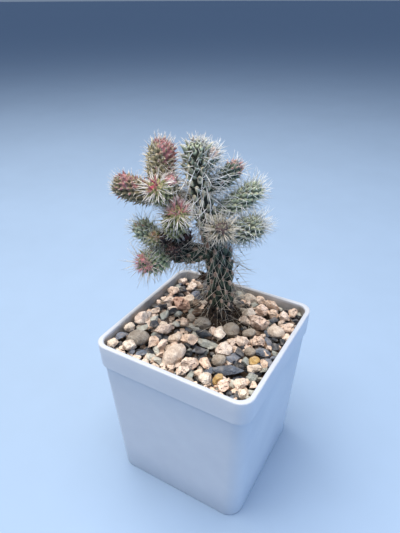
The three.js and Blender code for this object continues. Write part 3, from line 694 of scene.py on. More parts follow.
# Stones of the top layer: pixel across and down, half length and half width in pixels,
# turn of the long side in degrees, kind
stonesSeen = (
    (174, 355, 14, 8, 38, "smooth"), (189, 340, 9.5, 6.5, 8, "beige"), (176, 338, 8.5, 5.5, 15, "cream"),
    (190, 362, 9, 8, 60, "beige"), (182, 370, 8.5, 5, 20, "beige"), (138, 338, 12.5, 8, -12, "taupe"),
    (129, 345, 8.5, 5.5, 8, "cream"), (113, 343, 7, 4.5, -10, "cream"), (120, 336, 5.5, 4.5, 20, "slate"),
    (153, 342, 8, 5.5, 75, "beige"), (162, 345, 9, 5.5, 50, "beige"), (164, 330, 11, 5, 20, "beige"),
    (140, 317, 10.5, 6.5, 45, "beige"), (128, 327, 6.5, 5, 60, "cream"), (143, 328, 7.5, 5.5, 10, "grey"),
    (153, 325, 6.5, 5, 30, "dark"), (164, 315, 7.5, 4, 70, "grey"), (173, 312, 6.5, 4.5, 70, "dark"),
    (178, 314, 5.5, 4, 5, "grey"), (182, 304, 9.5, 8, -30, "rosy"), (184, 322, 6, 5, -60, "beige"),
    (191, 318, 5.5, 3.5, -60, "taupe"), (176, 324, 6.5, 5, 60, "grey"), (193, 328, 7, 4, -20, "grey"),
    (203, 323, 8.5, 6, -10, "taupe"), (204, 334, 9.5, 4.5, -25, "dark"), (204, 342, 10, 4.5, -22, "grey"),
    (201, 350, 8, 5, -10, "dark"), (141, 353, 6, 3.5, 10, "slate"), (150, 356, 6.5, 4.5, -30, "grey"),
    (158, 361, 6, 4, -20, "grey"), (206, 364, 8.5, 6.5, -5, "beige"), (206, 379, 8.5, 7, -20, "cream"),
    (228, 370, 17, 5.5, -10, "slate"), (240, 384, 9, 8, -10, "beige"), (223, 386, 8, 6.5, 40, "porous"),
    (243, 394, 8, 5, 0, "cream"), (218, 379, 7, 5, 60, "ochre"), (254, 361, 6.5, 5, -15, "ochre"),
    (245, 361, 7.5, 4.5, -65, "grey"), (254, 369, 8.5, 4.5, 0, "cream"), (252, 378, 7, 5.5, 20, "grey"),
    (264, 364, 5.5, 4.5, -20, "beige"), (262, 353, 9, 5.5, -5, "slate"), (250, 352, 6, 4.5, -20, "taupe"),
    (226, 350, 11, 8, 12, "beige"), (219, 360, 7.5, 6.5, 0, "taupe"), (231, 359, 5.5, 5, 0, "slate"),
    (239, 366, 6.5, 4.5, -40, "dark"), (239, 352, 6.5, 4.5, -65, "dark"), (231, 330, 8.5, 8, 0, "taupe"),
    (220, 334, 8, 6, 70, "cream"), (213, 330, 5.5, 4.5, 60, "beige"), (231, 342, 6.5, 5, 20, "beige"),
    (244, 341, 8.5, 6.5, 0, "beige"), (259, 341, 8, 7, -20, "porous"), (268, 341, 6.5, 3.5, -75, "slate"),
    (275, 346, 6, 5.5, 30, "dark"), (276, 332, 9, 6.5, -35, "smooth"), (258, 322, 11.5, 8, 5, "porous"),
    (274, 320, 5, 4.5, 0, "dark"), (284, 316, 8, 7, -60, "beige"), (286, 328, 8, 6.5, 20, "porous"),
    (293, 313, 6, 5.5, 0, "beige"), (273, 305, 8, 6.5, -20, "beige"), (262, 299, 7, 5.5, -40, "beige"),
    (262, 310, 7, 6, 0, "porous"), (273, 314, 7, 4.5, -30, "beige"), (250, 313, 6.5, 5.5, -60, "cream"),
    (245, 321, 6.5, 5, -30, "beige"), (252, 299, 9, 4.5, -32, "cream"), (240, 303, 4.5, 3.5, 0, "dark"),
    (243, 290, 6, 3.5, -20, "grey"), (249, 333, 7, 4.5, 0, "taupe"),
    (243, 329, 5, 4.5, 0, "dark"), (172, 291, 7, 6, 0, "beige"), (169, 300, 7, 5, 20, "beige"),
    (189, 299, 6.5, 5, 0, "cream"), (197, 304, 6, 5, 0, "brown"), (198, 313, 6.5, 4.5, 20, "brown"),
    (154, 311, 6, 4.5, 20, "beige"), (161, 306, 6.5, 4.5, 0, "dark"), (155, 318, 6, 4.5, 30, "grey"),
    (182, 289, 5.5, 4.5, 0, "dark"), (181, 281, 6, 5, 0, "beige"), (193, 286, 6, 5, 0, "beige"),
)

gravel = {
    "seed": 23, "topLevel": 76.4, "cornerRise": 0.9, "cornerWay": (0.87, 0.5), "cornerFar": 38,
    "fillers": 340, "fillerLow": 72.8, "fillerHigh": 75.4, "fillerSize": (1.6, 3.4),
    "width": (0.65, 0.9),
    "tries": 6, "compared": 260, "stemRoom": 11.0, "sharpAngle": 0.5,
    # how much the camera's slant shortens directions and lengths
    "foreshort": (0.72, 0.84), "stretch": 1.1, "wallRoom": 0.9,
    "tilt": (-0.25, 0.25), "shade": (0.88, 1.06),
    # rows along the walls: distance from the wall and number of stones
    "margins": ((2.1, 62), (5.4, 54)), "marginSeed": 41, "marginSize": (1.7, 2.9),
    "marginLevel": (75.2, 76.3), "marginShift": (-0.3, 0.3), "marginAway": (-0.5, 0.5),
    "fillerKinds": ("beige",) * 6 + ("cream", "porous", "taupe", "brown") + ("grey",) * 3
                   + ("slate",) * 2 + ("dark",) * 7,
    "planes": 12, "planeDepth": (0.46, 0.82),
    "mottle": ((0.70, 0.61, 0.56), (1.15, 1.14, 1.13)), "hole": (0.16, 0.10, 0.07),
    "dust": (0.60, 0.52, 0.44), "bump": (1.0, 0.0014),
}


def stoneRow(place, half, turn, kind, rng):
    chip, flat, pores, colours = stoneKinds[kind]
    shade = rng.uniform(*gravel["shade"])
    tone = [channel * shade for channel in rng.choice(colours)]
    return {
        "place": place, "half": np.array([*half, sum(half) / 2 * flat]) * mm,
        "turn": (rng.uniform(*gravel["tilt"]), rng.uniform(*gravel["tilt"]), turn),
        "tone": opaque(tone), "chip": chip, "pores": pores,
    }


# The gravel lies a little higher to the left and right corners
def stoneHeight(x, y):
    aside = abs(x * gravel["cornerWay"][0] + y * gravel["cornerWay"][1])
    return gravel["topLevel"] + gravel["cornerRise"] * aside / gravel["cornerFar"]


def fillerRow(place, size, rng):
    half = (size, size * rng.uniform(*gravel["width"]))
    return stoneRow(place, half, rng.uniform(*anyTurn), rng.choice(gravel["fillerKinds"]), rng)


def layTopStones(edge, rng):
    heading = math.atan2(eyeRight[1], eyeRight[0])
    turnShare, lengthShare = gravel["foreshort"]
    rows = []
    for px, py, long, wide, turn, kind in stonesSeen:
        spot = underPixel(px, py, gravel["topLevel"])
        spot = underPixel(px, py, stoneHeight(spot[0], spot[1]))
        pixel = camera["focal"] / (spot - eye).dot(eyeForward)
        # a length that lies away from the camera looks shorter
        tilt = math.radians(turn)
        ground = math.atan2(math.sin(tilt) / turnShare, math.cos(tilt))
        stretch = math.hypot(math.cos(tilt), math.sin(tilt) / lengthShare)
        half = [long * stretch / pixel, wide / pixel * gravel["stretch"]]
        inset = edge - min(half) * gravel["wallRoom"]
        spot[:2] = np.clip(spot[:2], -inset, inset)
        rows.append(stoneRow(tuple(spot), half, ground + heading, kind, rng))
    return rows


# Stones of the bed below, each at the best of a few random places
def layFillers(edge, rng):
    rows = []
    while len(rows) < gravel["fillers"]:
        size = rng.uniform(*gravel["fillerSize"])
        room = edge - size * gravel["wallRoom"]
        best = None
        for _ in range(gravel["tries"]):
            x, y = (rng.uniform(-1, 1) * room for _ in range(2))
            if fromStem(x, y) < gravel["stemRoom"]:
                continue
            others = rows[-gravel["compared"]:]
            near = min((math.dist((x, y), row["place"][:2]) for row in others), default=99)
            if best is None or near > best[0]:
                best = (near, x, y)
        if best:
            z = rng.uniform(gravel["fillerLow"], gravel["fillerHigh"])
            rows.append(fillerRow((*best[1:], z), size, rng))
    return rows


# Smaller stones in rows along the four walls
def layMargins(edge):
    rng = random.Random(gravel["marginSeed"])
    rows = []
    for inset, count in gravel["margins"]:
        side = edge - inset
        for k in range(count):
            run = 8 * side * (k + rng.uniform(*gravel["marginShift"])) / count
            quarter, along = int(run // (2 * side)) % 4, run % (2 * side) - side
            away = side + rng.uniform(*gravel["marginAway"])
            x, y = ((away, along), (-along, away), (-away, -along), (along, -away))[quarter]
            if fromStem(x, y) < gravel["stemRoom"]:
                continue
            size = rng.uniform(*gravel["marginSize"])
            rows.append(fillerRow((x, y, rng.uniform(*gravel["marginLevel"])), size, rng))
    return rows


def makeStoneTree():
    tree, given, result = newGrowth(
        "crushedStones", ("Subdivisions", "Int", 4), ("Planes seed", "Int", 3),
        ("Roughen", "Float", 0.0009), ("Grain scale", "Float", 420.0))
    inputs = {"Radius": 1.0, "Subdivisions": given["Subdivisions"]}
    ball = addNode(tree, "GeometryNodeMeshIcoSphere", inputs).outputs["Mesh"]
    position, normal = inputField(tree, "Position"), inputField(tree, "Normal")
    marked = storeField(tree, ball, "local", position, "FLOAT_VECTOR")
    centres = storeField(tree, given["Geometry"], "centre", position, "FLOAT_VECTOR")
    numbered = storeField(tree, centres, "stone", inputField(tree, "Index"), "INT")
    real = realised(tree, instanceOn(tree, numbered, marked))
    local, stone, chip = vectorField(tree, "local"), field(tree, "stone", "INT"), field(tree, "chip")
    for plane in range(gravel["planes"]):
        seed = mathNode(tree, "ADD", given["Planes seed"], float(plane))
        axis = randomField(tree, (-1, -1, -1), (1, 1, 1), seed, stone, "FLOAT_VECTOR")
        facing = vectorNode(tree, "NORMALIZE", axis)
        depth = randomField(tree, *gravel["planeDepth"], 40 + plane, stone)
        cut = product(tree, chip, mathNode(tree, "SUBTRACT", 1.0, depth))
        level = mathNode(tree, "SUBTRACT", 1.0, cut)
        beyond = mathNode(tree, "SUBTRACT", vectorNode(tree, "DOT_PRODUCT", local, facing), level)
        beyond = mathNode(tree, "MAXIMUM", beyond, 0.0)
        local = vectorNode(tree, "SUBTRACT", local, scaled(tree, facing, beyond))
    sized = vectorNode(tree, "MULTIPLY", local, vectorField(tree, "half"))
    inputs = {"Vector": sized, "Rotation": vectorField(tree, "turn")}
    turned = addNode(tree, "FunctionNodeRotateVector", inputs).outputs[0]
    placed = vectorNode(tree, "ADD", vectorField(tree, "centre"), turned)
    shaped = setPosition(tree, real, Position=placed)
    relief = mathNode(tree, "SUBTRACT", noise(tree, position, given["Grain scale"], 3.0), 0.5)
    pits = rangeNode(tree, cells(tree, position, given["Grain scale"])["Distance"], 0.45, 0.1)
    uneven = mathNode(tree, "ADD", relief, product(tree, pits, -0.45))
    push = product(tree, uneven, product(tree, field(tree, "pores"), given["Roughen"]))
    roughened = setPosition(tree, shaped, Offset=scaled(tree, normal, push))
    return finishGrowth(tree, roughened, given, result, gravel["sharpAngle"])


def makeStoneMaterial():
    material, tree = startMaterial("crushedStone", Specular_IOR_Level=0.3)
    pores = meshValue(tree, "pores")
    cloud = addMottle(tree, *gravel["mottle"], 420.0, 0.3)
    tinted = mixColour(tree, 0.9, meshValue(tree, "tone", "Color"), cloud["Color"], "MULTIPLY")
    pits = rangeNode(tree, cells(tree, objectPlace(tree), 900.0)["Distance"], 0.28, 0.08)
    hole = product(tree, pits, rangeNode(tree, pores, 0.3, 2.2, 0.1, 0.8))
    pitted = mixColour(tree, hole, tinted, opaque(gravel["hole"]))
    dusty = addGroup(tree, dustGroup, {
        "Color": pitted, "Dust": opaque(gravel["dust"]), "Amount": 0.25, "Scale": 380.0})
    rough = rangeNode(tree, pores, 0.1, 0.8, 0.55, 0.9)
    height = mathNode(tree, "SUBTRACT", cloud["Height"], product(tree, hole, 1.5))
    return finishMaterial(material, dusty["Color"], rough, (height, *gravel["bump"]))


crumbs = {
    "seed": 31, "round": 330, "strewn": 70, "ring": (5.0, 11.5), "size": (0.4, 1.4),
    "width": (0.35, 0.8),
    "lift": (0.1, 0.8), "strewnHalf": 33, "sunk": (0.2, 1.6),
    # crumbs that hang in the thorns at the right of the stem: height and distance from the axis
    "caught": ((104, 7.2), (103.4, 6.6), (97, 7.4), (96.4, 7.0), (111, 8.6)), "caughtSize": (0.5, 0.9),
}


# Peat crumbs in a heap round the stem and a few between the stones
def layCrumbs():
    rng = random.Random(crumbs["seed"])
    spots = []
    for _ in range(crumbs["round"]):
        away, turn = rng.uniform(*crumbs["ring"]), rng.uniform(*anyTurn)
        x, y = roundStem(away, turn)
        level = soilLevel(x, y, rng) + rng.uniform(*crumbs["lift"])
        spots.append((x, y, level, rng.uniform(*crumbs["size"])))
    for _ in range(crumbs["strewn"]):
        x, y = (rng.uniform(-crumbs["strewnHalf"], crumbs["strewnHalf"]) for _ in range(2))
        level = gravel["topLevel"] - rng.uniform(*crumbs["sunk"])
        spots.append((x, y, level, rng.uniform(*crumbs["size"])))
    for z, away in crumbs["caught"]:
        x, y = np.array(soil["stem"]) + eyeRight[:2] * away
        spots.append((x, y, z, rng.uniform(*crumbs["caughtSize"])))
    rows = []
    for *place, size in spots:
        half = (size, size * rng.uniform(*crumbs["width"]))
        rows.append(stoneRow(place, half, rng.uniform(*anyTurn), "peat", rng))
    return rows


def makeStones():
    rng = random.Random(gravel["seed"])
    edge = innerHalf(gravel["topLevel"])
    tree = makeStoneTree()
    rock, peat = makeStoneMaterial(), makeSoilMaterial("peatCrumb", 1100.0)
    top, under = layTopStones(edge, rng), layFillers(edge, rng) + layMargins(edge)
    for name, rows, detail, seed, material, slot in (
            ("gravel_top_stones", top, 4, 3, rock, "crushed_stone"),
            ("gravel_under_stones", under, 3, 71, rock, "crushed_stone"),
            ("peat_crumbs", layCrumbs(), 2, 90, peat, "potting_soil")):
        joined = {key: [row[key] for row in rows] for key in rows[0]}
        stones = makePiece(name, joined.pop("place"), **joined)
        growPiece(stones, tree, {"Subdivisions": detail, "Planes seed": seed, "Material": material})
        handIn(stones, slot)
        if name == "gravel_top_stones":
            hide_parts("gravel")
        print(name, len(rows), "stones", len(stones.data.polygons), "faces")


makeStones()
print("gravel made")


# The plant: axes and widths of its joints, in millimetres, as the solids have them

stemStations = (
    (-0.6, 13.2, 46, 3.2), (-0.6, 13.2, 76, 6), (-1.2, 13.1, 91, 6.2), (-1.9, 12.9, 106, 6.1),
    (-3.4, 12.2, 118, 5.8), (-8.2, 10.2, 130, 5.1), (-10.4, 9.1, 144, 4.5), (-11, 8.5, 160.5, 4.2),
)

# Node: carrier, share of the carrier, heading, rise, length and width
jointForms = {
    "branch_upper_left": ("main_stem", 0.76, -149, 16, 17.5, 9.2),
    "joint_top_left": ("branch_upper_left", 0.99, 112, 76, 22.5, 11),
    "joint_far_left": ("branch_upper_left", 0.97, -145, 20, 21.5, 9.8),
    "joint_star_left": ("branch_upper_left", 0.84, -79, 36, 17, 10),
    "joint_small_pink": ("branch_upper_left", 0.6, -88, 61, 14.8, 6.2),
    "arm_lower_left": ("main_stem", 0.57, -151, -4, 22, 9),
    "stub_left": ("arm_lower_left", 0.8, -128, 76, 11.8, 8),
    "joint_star_centre": ("stub_left", 0.87, -47, 53.5, 20, 10.8),
    "joint_low_left": ("arm_lower_left", 0.92, -116, -3, 15.8, 11),
    "joint_mid_left": ("arm_lower_left", 0.93, -157, 42, 21, 8.6),
    "bud_mid_left": ("joint_mid_left", 0.42, -62, 40, 11, 5.6),
    "bud_dark_inner": ("arm_lower_left", 0.62, -84, 75, 13.6, 5.8),
    "bud_dark_left": ("stub_left", 0.62, -112, 29, 10, 5.8),
    "bud_dark_front": ("arm_lower_left", 0.85, -66, 42, 12.5, 5.8),
    "joint_top_right": ("main_stem", 0.89, 42, 52, 11.6, 6.8),
    "joint_upper_right": ("main_stem", 0.8, 49, 35, 21, 7),
    "joint_mid_right": ("main_stem", 0.71, 41, 29, 26.5, 8.5),
    "joint_low_right": ("main_stem", 0.63, 18, 22, 21.8, 10.2),
    "joint_front": ("main_stem", 0.61, -54, 43, 19.3, 8.4),
}

# What grows on each: skin area to an areole (mm2), thorn length and half thickness, thorns to an
# areole and how far they spread, length of the leaves and how far down they stand, colour of the
# body and of the tip, how strong the tip's colour is and how far down it goes
growthKeys = ("cell", "thorn", "thick", "fan", "spread", "leaf", "leafReach",
              "body", "tone", "blush", "blushReach")
jointGrowth = {
    "main_stem": (21.0, 12.0, 0.15, 4, 1.2, 4.0, 20, "bottle", "umber", 0.7, 2.4),
    "branch_upper_left": (9.0, 6.0, 0.19, 3, 0.9, 1.5, 30, "olive", "rust", 0.0, 1),
    "joint_top_left": (5.6, 3.7, 0.13, 2, 0.5, 2.2, 30, "olive", "dusky", 0.75, 20),
    "joint_far_left": (5.2, 3.4, 0.13, 1, 0.5, 2.0, 30, "darkOlive", "dusky", 0.72, 19),
    "joint_star_left": (6.5, 5.6, 0.17, 4, 0.45, 1.4, 30, "yellowOlive", "crimson", 0.9, 1.3),
    "joint_small_pink": (5.5, 3.8, 0.15, 3, 0.6, 1.5, 30, "olive", "mauve", 0.95, 4.2),
    "arm_lower_left": (17.0, 9.0, 0.14, 5, 1.1, 0, 0, "bottle", "rust", 0.0, 1),
    "stub_left": (12.0, 6.0, 0.14, 3, 0.9, 1.4, 30, "bottle", "rust", 0.0, 1),
    "joint_star_centre": (6.5, 6.4, 0.17, 5, 0.5, 1.8, 30, "yellowOlive", "salmon", 0.9, 1.3),
    "joint_low_left": (6.5, 8.4, 0.15, 4, 0.5, 2.2, 30, "freshGreen", "pink", 0.95, 2.4),
    "joint_mid_left": (6.0, 5.6, 0.15, 2, 0.7, 2.2, 30, "leafGreen", "rust", 0.2, 4),
    "bud_mid_left": (5.0, 2.6, 0.14, 1, 0.7, 1.9, 30, "yellowOlive", "tan", 0.8, 2.6),
    "bud_dark_inner": (5.0, 2.6, 0.18, 1, 0.7, 1.6, 12, "peat", "wine", 0.7, 7),
    "bud_dark_left": (5.0, 2.6, 0.18, 1, 0.7, 1.5, 12, "peat", "wine", 0.5, 6),
    "bud_dark_front": (5.0, 2.6, 0.18, 1, 0.7, 1.6, 12, "peat", "wine", 0.6, 6),
    "joint_top_right": (6.0, 5.2, 0.20, 3, 0.7, 1.8, 30, "greyGreen", "pale", 0.8, 6),
    "joint_upper_right": (6.0, 5.2, 0.16, 2, 0.6, 2.1, 30, "darkGreen", "clay", 0.9, 5.4),
    "joint_mid_right": (6.5, 5.8, 0.17, 3, 0.8, 2.1, 30, "leafGreen", "rust", 0.0, 1),
    "joint_low_right": (6.5, 6.2, 0.16, 4, 0.8, 1.8, 30, "paleGreen", "rust", 0.0, 1),
    "joint_front": (6.0, 6.4, 0.14, 6, 0.6, 1.6, 30, "sage", "umber", 1.0, 2.9),
}

# Bristles that crowd on a growing tip: how far down, how many to an areole, length, half
# thickness, spread, how far they take the tip's colour, how far they turn upwards, and how far
# the skin under them takes the colour
tuftKeys = ("reach", "fan", "length", "thick", "spread", "tint", "lift", "cap")
tufts = {
    "joint_star_left": (0.45, 12, 3.6, 0.17, 0.7, 1.0, 0.0, 0.5),
    "joint_star_centre": (0.8, 7, 4.4, 0.17, 0.8, 0.95, 0.55, 0.5),
    "joint_small_pink": (1.0, 4, 2.2, 0.14, 0.7, 0.9, 0.0, 0.8),
    "joint_low_left": (1.5, 8, 3.0, 0.15, 0.9, 0.9, 0.0, 0.6),
    "joint_upper_right": (0.9, 4, 2.8, 0.17, 0.7, 0.7, 0.0, 0.6),
    "joint_front": (1.0, 4, 2.0, 0.14, 0.9, 0.5, 0.0, 0.72),
    "main_stem": (0.6, 3, 3.2, 0.20, 0.6, 0.0, 0.0, 0.4),
}
noTuft = (0, 1, 1, 1, 1, 0, 0, 1)

# Joints seen as stars: how far their thorns lean away from the tip, how far down the long ones
# grow (mm), and below that the share of the length and the thorns to an areole
stars = {
    "joint_star_left": (1.0, 1.4, 0.5, 2), "joint_star_centre": (0.9, 2.2, 0.55, 2),
    "joint_low_left": (0.8, 2.2, 0.55, 2), "joint_front": (0.8, 2.4, 0.6, 3),
}
noStar = (0, 99, 1, 1)

# Share of their length that thorns reach on a joint's underside
undersides = {"joint_front": 0.35, "joint_low_right": 0.7, "joint_star_centre": 0.55}

# Joints whose thorns look older
jointAges = {"joint_front": 0.62, "branch_upper_left": 0.6}

# Joints whose tip nods towards the light: heading, rise and length of the last stretch
nods = {"joint_low_left": (-82, 22, 7.0), "joint_top_left": (30, 76, 12.5)}

bodies = {
    "bottle": (0.028, 0.048, 0.029), "darkGreen": (0.12, 0.16, 0.11), "greyGreen": (0.27, 0.315, 0.23),
    "paleGreen": (0.31, 0.345, 0.25), "leafGreen": (0.37, 0.425, 0.3), "olive": (0.35, 0.31, 0.185),
    "darkOlive": (0.22, 0.19, 0.11), "sage": (0.3, 0.29, 0.21), "freshGreen": (0.35, 0.42, 0.24),
    "yellowOlive": (0.35, 0.34, 0.145), "peat": (0.034, 0.025, 0.022),
}
tones = {
    "crimson": (0.44, 0.055, 0.110), "dusky": (0.35, 0.150, 0.165), "pink": (0.66, 0.220, 0.270),
    "salmon": (0.66, 0.235, 0.250), "pale": (0.60, 0.47, 0.43), "mauve": (0.47, 0.20, 0.24),
    "rust": (0.26, 0.120, 0.080), "clay": (0.43, 0.235, 0.235), "tan": (0.36, 0.21, 0.13),
    "wine": (0.070, 0.022, 0.022), "umber": (0.075, 0.042, 0.045),
}
slotNodes = {
    "old_stem": ("main_stem", "arm_lower_left", "stub_left"),
    "red_tip_joint": ("joint_top_left", "joint_far_left", "joint_star_left", "joint_small_pink",
                      "joint_star_centre", "joint_low_left"),
    "dark_bud": ("bud_dark_inner", "bud_dark_left", "bud_dark_front"),
    "young_joint": ("branch_upper_left", "joint_mid_left", "bud_mid_left", "joint_top_right",
                    "joint_upper_right", "joint_mid_right", "joint_low_right", "joint_front"),
}
slotOf = {node: slot for slot, nodes in slotNodes.items() for node in nodes}

plant = {
    "seed": 9, "oldStep": 0.5, "youngStep": 0.38, "collar": 73.0, "sag": 0.1,
    "neck": 0.62, "neckEnd": 0.4, "rooted": 0.62, "overhang": 0.5,
    # depth between the tubercles: share of the radius and the most (mm)
    "furrow": (0.22, 1.4), "stemFurrow": (0.34, 1.6),
    # how high tubercles and areoles stand in it, and how much of that is left at the tip
    "knobRise": 1.1, "seatRise": 1.05, "tipRise": 0.35, "tipEnd": 3.5,
    # size of the areoles' cells at the stem's top and at a tip; where the first and last areole is
    "topCell": 0.6, "topCellFrom": (0.6, 0.9), "tipCell": 0.45, "tipLength": 5,
    "firstAreole": 0.6, "lastAreole": 0.15,
    # tubercles: how far their top and foot lie off the core, how long they are at a tip
    "knobTop": 0.25, "knobFoot": -0.75, "knobShare": 0.4, "knobEnd": 7,
    "slopes": (-3.5, 1.2), "fewestRings": 4, "fewestArcs": 5, "fewestSides": 14,
    # colour of the tips: where it starts to fade, and how it keeps to the sunny side of long ones
    "blushFrom": 0.35, "longBlush": 10, "longBlushFrom": 0.2, "sunnyWay": (0.8, 0.5),
    "shadeBlush": 0.25, "sunnyEdge": (-0.45, 0.55),
    # how thorns lean to the tip, and what they lose on an underside
    "lean": 0.18, "tipLean": 0.2, "tipLeanEnd": 8, "splayStart": 0.5, "splayEnd": (2, 6),
    # how far the flesh between the leaves is darkened on the young joints and on the stem's top: painted
    # shade
    "underside": (-0.6, 0),
    "fleshPaintedShade": 0.65, "stemPaintedShade": 0.95, "earthy": (82.5, 86.5),
    "girthFrom": (112, 138), "girths": (1.0, 0.72), "knobs": (1.0, 0.5),
    # height on the stem (mm), how its thorns hang there, how thick they are, how old it looks
    "heights": (76, 98, 116, 130, 146, 158, 166), "droops": (0.38, 0.42, 0.46, 0.42, 0.3, 0.0, -0.3),
    "thins": (0.75, 0.78, 0.95, 1.55, 1.6, 1.4, 1.2), "ages": (1.0, 0.97, 0.85, 0.4, 0.3, 0.26, 0.2),
    "armDroop": 0.6, "topShare": 0.38, "topThorns": (4, 14),
    # above bareFrom (mm) the side towards the window has lost most of its thorns, and above
    # broomFrom the other side has more
    "bareFrom": 136, "bareFacing": 0.6, "bareTurn": 0.6, "fewThorns": 2,
    "broomFrom": 133, "broomMore": 3, "buried": 88,
    # wool: how much is left at the tip, among bristles and on earthy skin, and the caps of the top
    "padShare": 0.6, "padYoung": 0.45, "padOld": 0.6, "padTuft": 0.5, "padEarthy": 0.35,
    "padFlush": 0.9, "capped": (112, 116, 150, 156), "capGrowth": 1.6,
    "leafLeast": 0.4, "leafShare": 0.5, "leafFade": 0.6,
    "slots": {
        "old_stem": {"pad": 0.80, "tubercle": 3.2, "age": 0.9, "leafLean": 2.0, "sink": 0.2},
        "young_joint": {"pad": 0.5, "tubercle": 2.0, "age": 0.3, "leafLean": 1.1, "sink": 0.5},
        "red_tip_joint": {"pad": 0.4, "tubercle": 2.0, "age": 0.3, "leafLean": 0.9, "sink": 0.5},
        "dark_bud": {"pad": 0.35, "tubercle": 1.8, "age": 0.6, "leafLean": 0.8, "sink": 0.5},
    },
}


def isStem(joint):
    return joint["node"] == "main_stem"


# From 0 at low to 1 at high
def smoothStep(x, low, high):
    share = np.clip((x - low) / (high - low), 0, 1)
    return share * share * (3 - 2 * share)


# From that share at low to 1 at high
def ramp(share, x, low, high):
    return share + (1 - share) * smoothStep(x, low, high)


def unit(vectors):
    return vectors / np.linalg.norm(vectors, axis=-1, keepdims=True)


# The way that leads so many degrees round and so many up
def wayOf(heading, rise):
    heading, rise = math.radians(heading), math.radians(rise)
    flat = math.cos(rise)
    return np.array([flat * math.cos(heading), flat * math.sin(heading), math.sin(rise)])


# A centripetal curve through points, closely sampled
def stationCurve(points, steps=60):
    points = np.asarray(points, float)
    ends = np.vstack([2 * points[0] - points[1], points, 2 * points[-1] - points[-2]])
    samples = []
    for k in range(len(points) - 1):
        p0, p1, p2, p3 = ends[k:k + 4]
        d0, d1, d2 = (np.linalg.norm(b - a) ** 0.5 for a, b in ((p0, p1), (p1, p2), (p2, p3)))
        leave = ((p1 - p0) / d0 - (p2 - p0) / (d0 + d1) + (p2 - p1) / d1) * d1
        arrive = ((p2 - p1) / d1 - (p3 - p1) / (d1 + d2) + (p3 - p2) / d2) * d1
        for t in np.linspace(0, 1, steps, endpoint=False):
            samples.append(p1 + leave * t + (3 * (p2 - p1) - 2 * leave - arrive) * t ** 2
                           + (2 * (p1 - p2) + leave + arrive) * t ** 3)
    return np.array(samples + [points[-1]])


# Adds the run along the line and an untwisted frame at each sample
def withAxis(joint, line):
    run = np.concatenate([[0], np.cumsum(np.linalg.norm(np.diff(line, axis=0), axis=1))])
    tangent = unit(np.gradient(line, run, axis=0))
    side = np.zeros_like(tangent)
    side[0] = unit(np.cross(tangent[0], (0.3, 0.9, 0.1)))
    for k in range(1, len(line)):
        side[k] = unit(side[k - 1] - tangent[k] * side[k - 1].dot(tangent[k]))
    joint.update(line=line, run=run, reach=run[-1], tangents=tangent, sides=side,
                 others=np.cross(tangent, side))


def frameAt(joint, s):
    s = np.atleast_1d(s)
    pick = [np.stack([np.interp(s, joint["run"], joint[key][:, axis]) for axis in range(3)], axis=1)
            for key in ("line", "tangents", "sides", "others")]
    return pick[0], unit(pick[1]), unit(pick[2]), unit(pick[3])


def domed(joint, s, radius):
    return np.sqrt(np.clip(1 - np.clip((s - joint["reach"] + radius) / radius, 0, 1) ** 2, 0, 1))


def radiusOf(joint, s):
    s = np.asarray(s, float)
    if isStem(joint):
        z = frameAt(joint, s)[0][:, 2]
        stations = np.array(stemStations)
        return np.interp(z, stations[:, 2], stations[:, 3]) * domed(joint, s, stations[-1, 3])
    half = joint["width"] / 2
    share = np.clip((s - joint["base"]) / (joint["reach"] - joint["base"]), 0, 1)
    return half * ramp(plant["neck"], share, 0, plant["neckEnd"]) * domed(joint, s, half)


def furrowOf(joint, radius):
    share, most = plant["stemFurrow" if isStem(joint) else "furrow"]
    return np.minimum(most, radius * share)


# How far the tubercles stand out of the furrows
def swellOf(joint, s, rise):
    near = joint["reach"] - s
    return furrowOf(joint, radiusOf(joint, s)) * ramp(plant["tipRise"], near, 0, plant["tipEnd"]) * rise


def makeJoints():
    stem = dict(zip(growthKeys, jointGrowth["main_stem"]), node="main_stem", slot="old_stem", base=0.0)
    withAxis(stem, stationCurve([row[:3] for row in stemStations]))
    joints = {"main_stem": stem}
    for node, (on, at, heading, rise, length, width) in jointForms.items():
        joint = dict(zip(growthKeys, jointGrowth[node]), node=node, slot=slotOf[node], width=width)
        carrier = joints[on]
        foot = at * carrier["reach"]
        start = frameAt(carrier, foot)[0][0]
        tip = start + length * wayOf(heading, rise)
        bend = (start + tip) / 2 - upward * length * math.cos(math.radians(rise)) * plant["sag"]
        if node in nods:
            bend = tip - nods[node][2] * wayOf(*nods[node][:2])
        t = np.linspace(0, 1, 120)[:, None]
        withAxis(joint, (1 - t) ** 2 * start + 2 * t * (1 - t) * bend + t ** 2 * tip)
        joint["base"] = float(radiusOf(carrier, [foot])[0]) * plant["rooted"]
        joints[node] = joint
    return joints


# Points on the smooth core of a joint, with the way out and the way to the tip
def onSkin(joint, s, angle, lift=0.0, step=0.3):
    centre, tangent, side, other = frameAt(joint, s)
    radial = side * np.cos(angle)[:, None] + other * np.sin(angle)[:, None]
    radius = radiusOf(joint, s)
    core = radius - furrowOf(joint, radius)
    slope = (radiusOf(joint, s + step) - radiusOf(joint, s - step)) / (2 * step)
    normal = unit(radial - tangent * np.clip(slope, *plant["slopes"])[:, None])
    toTip = unit(np.cross(np.cross(normal, tangent), normal))
    return centre + radial * core[:, None] + normal * lift, normal, toTip


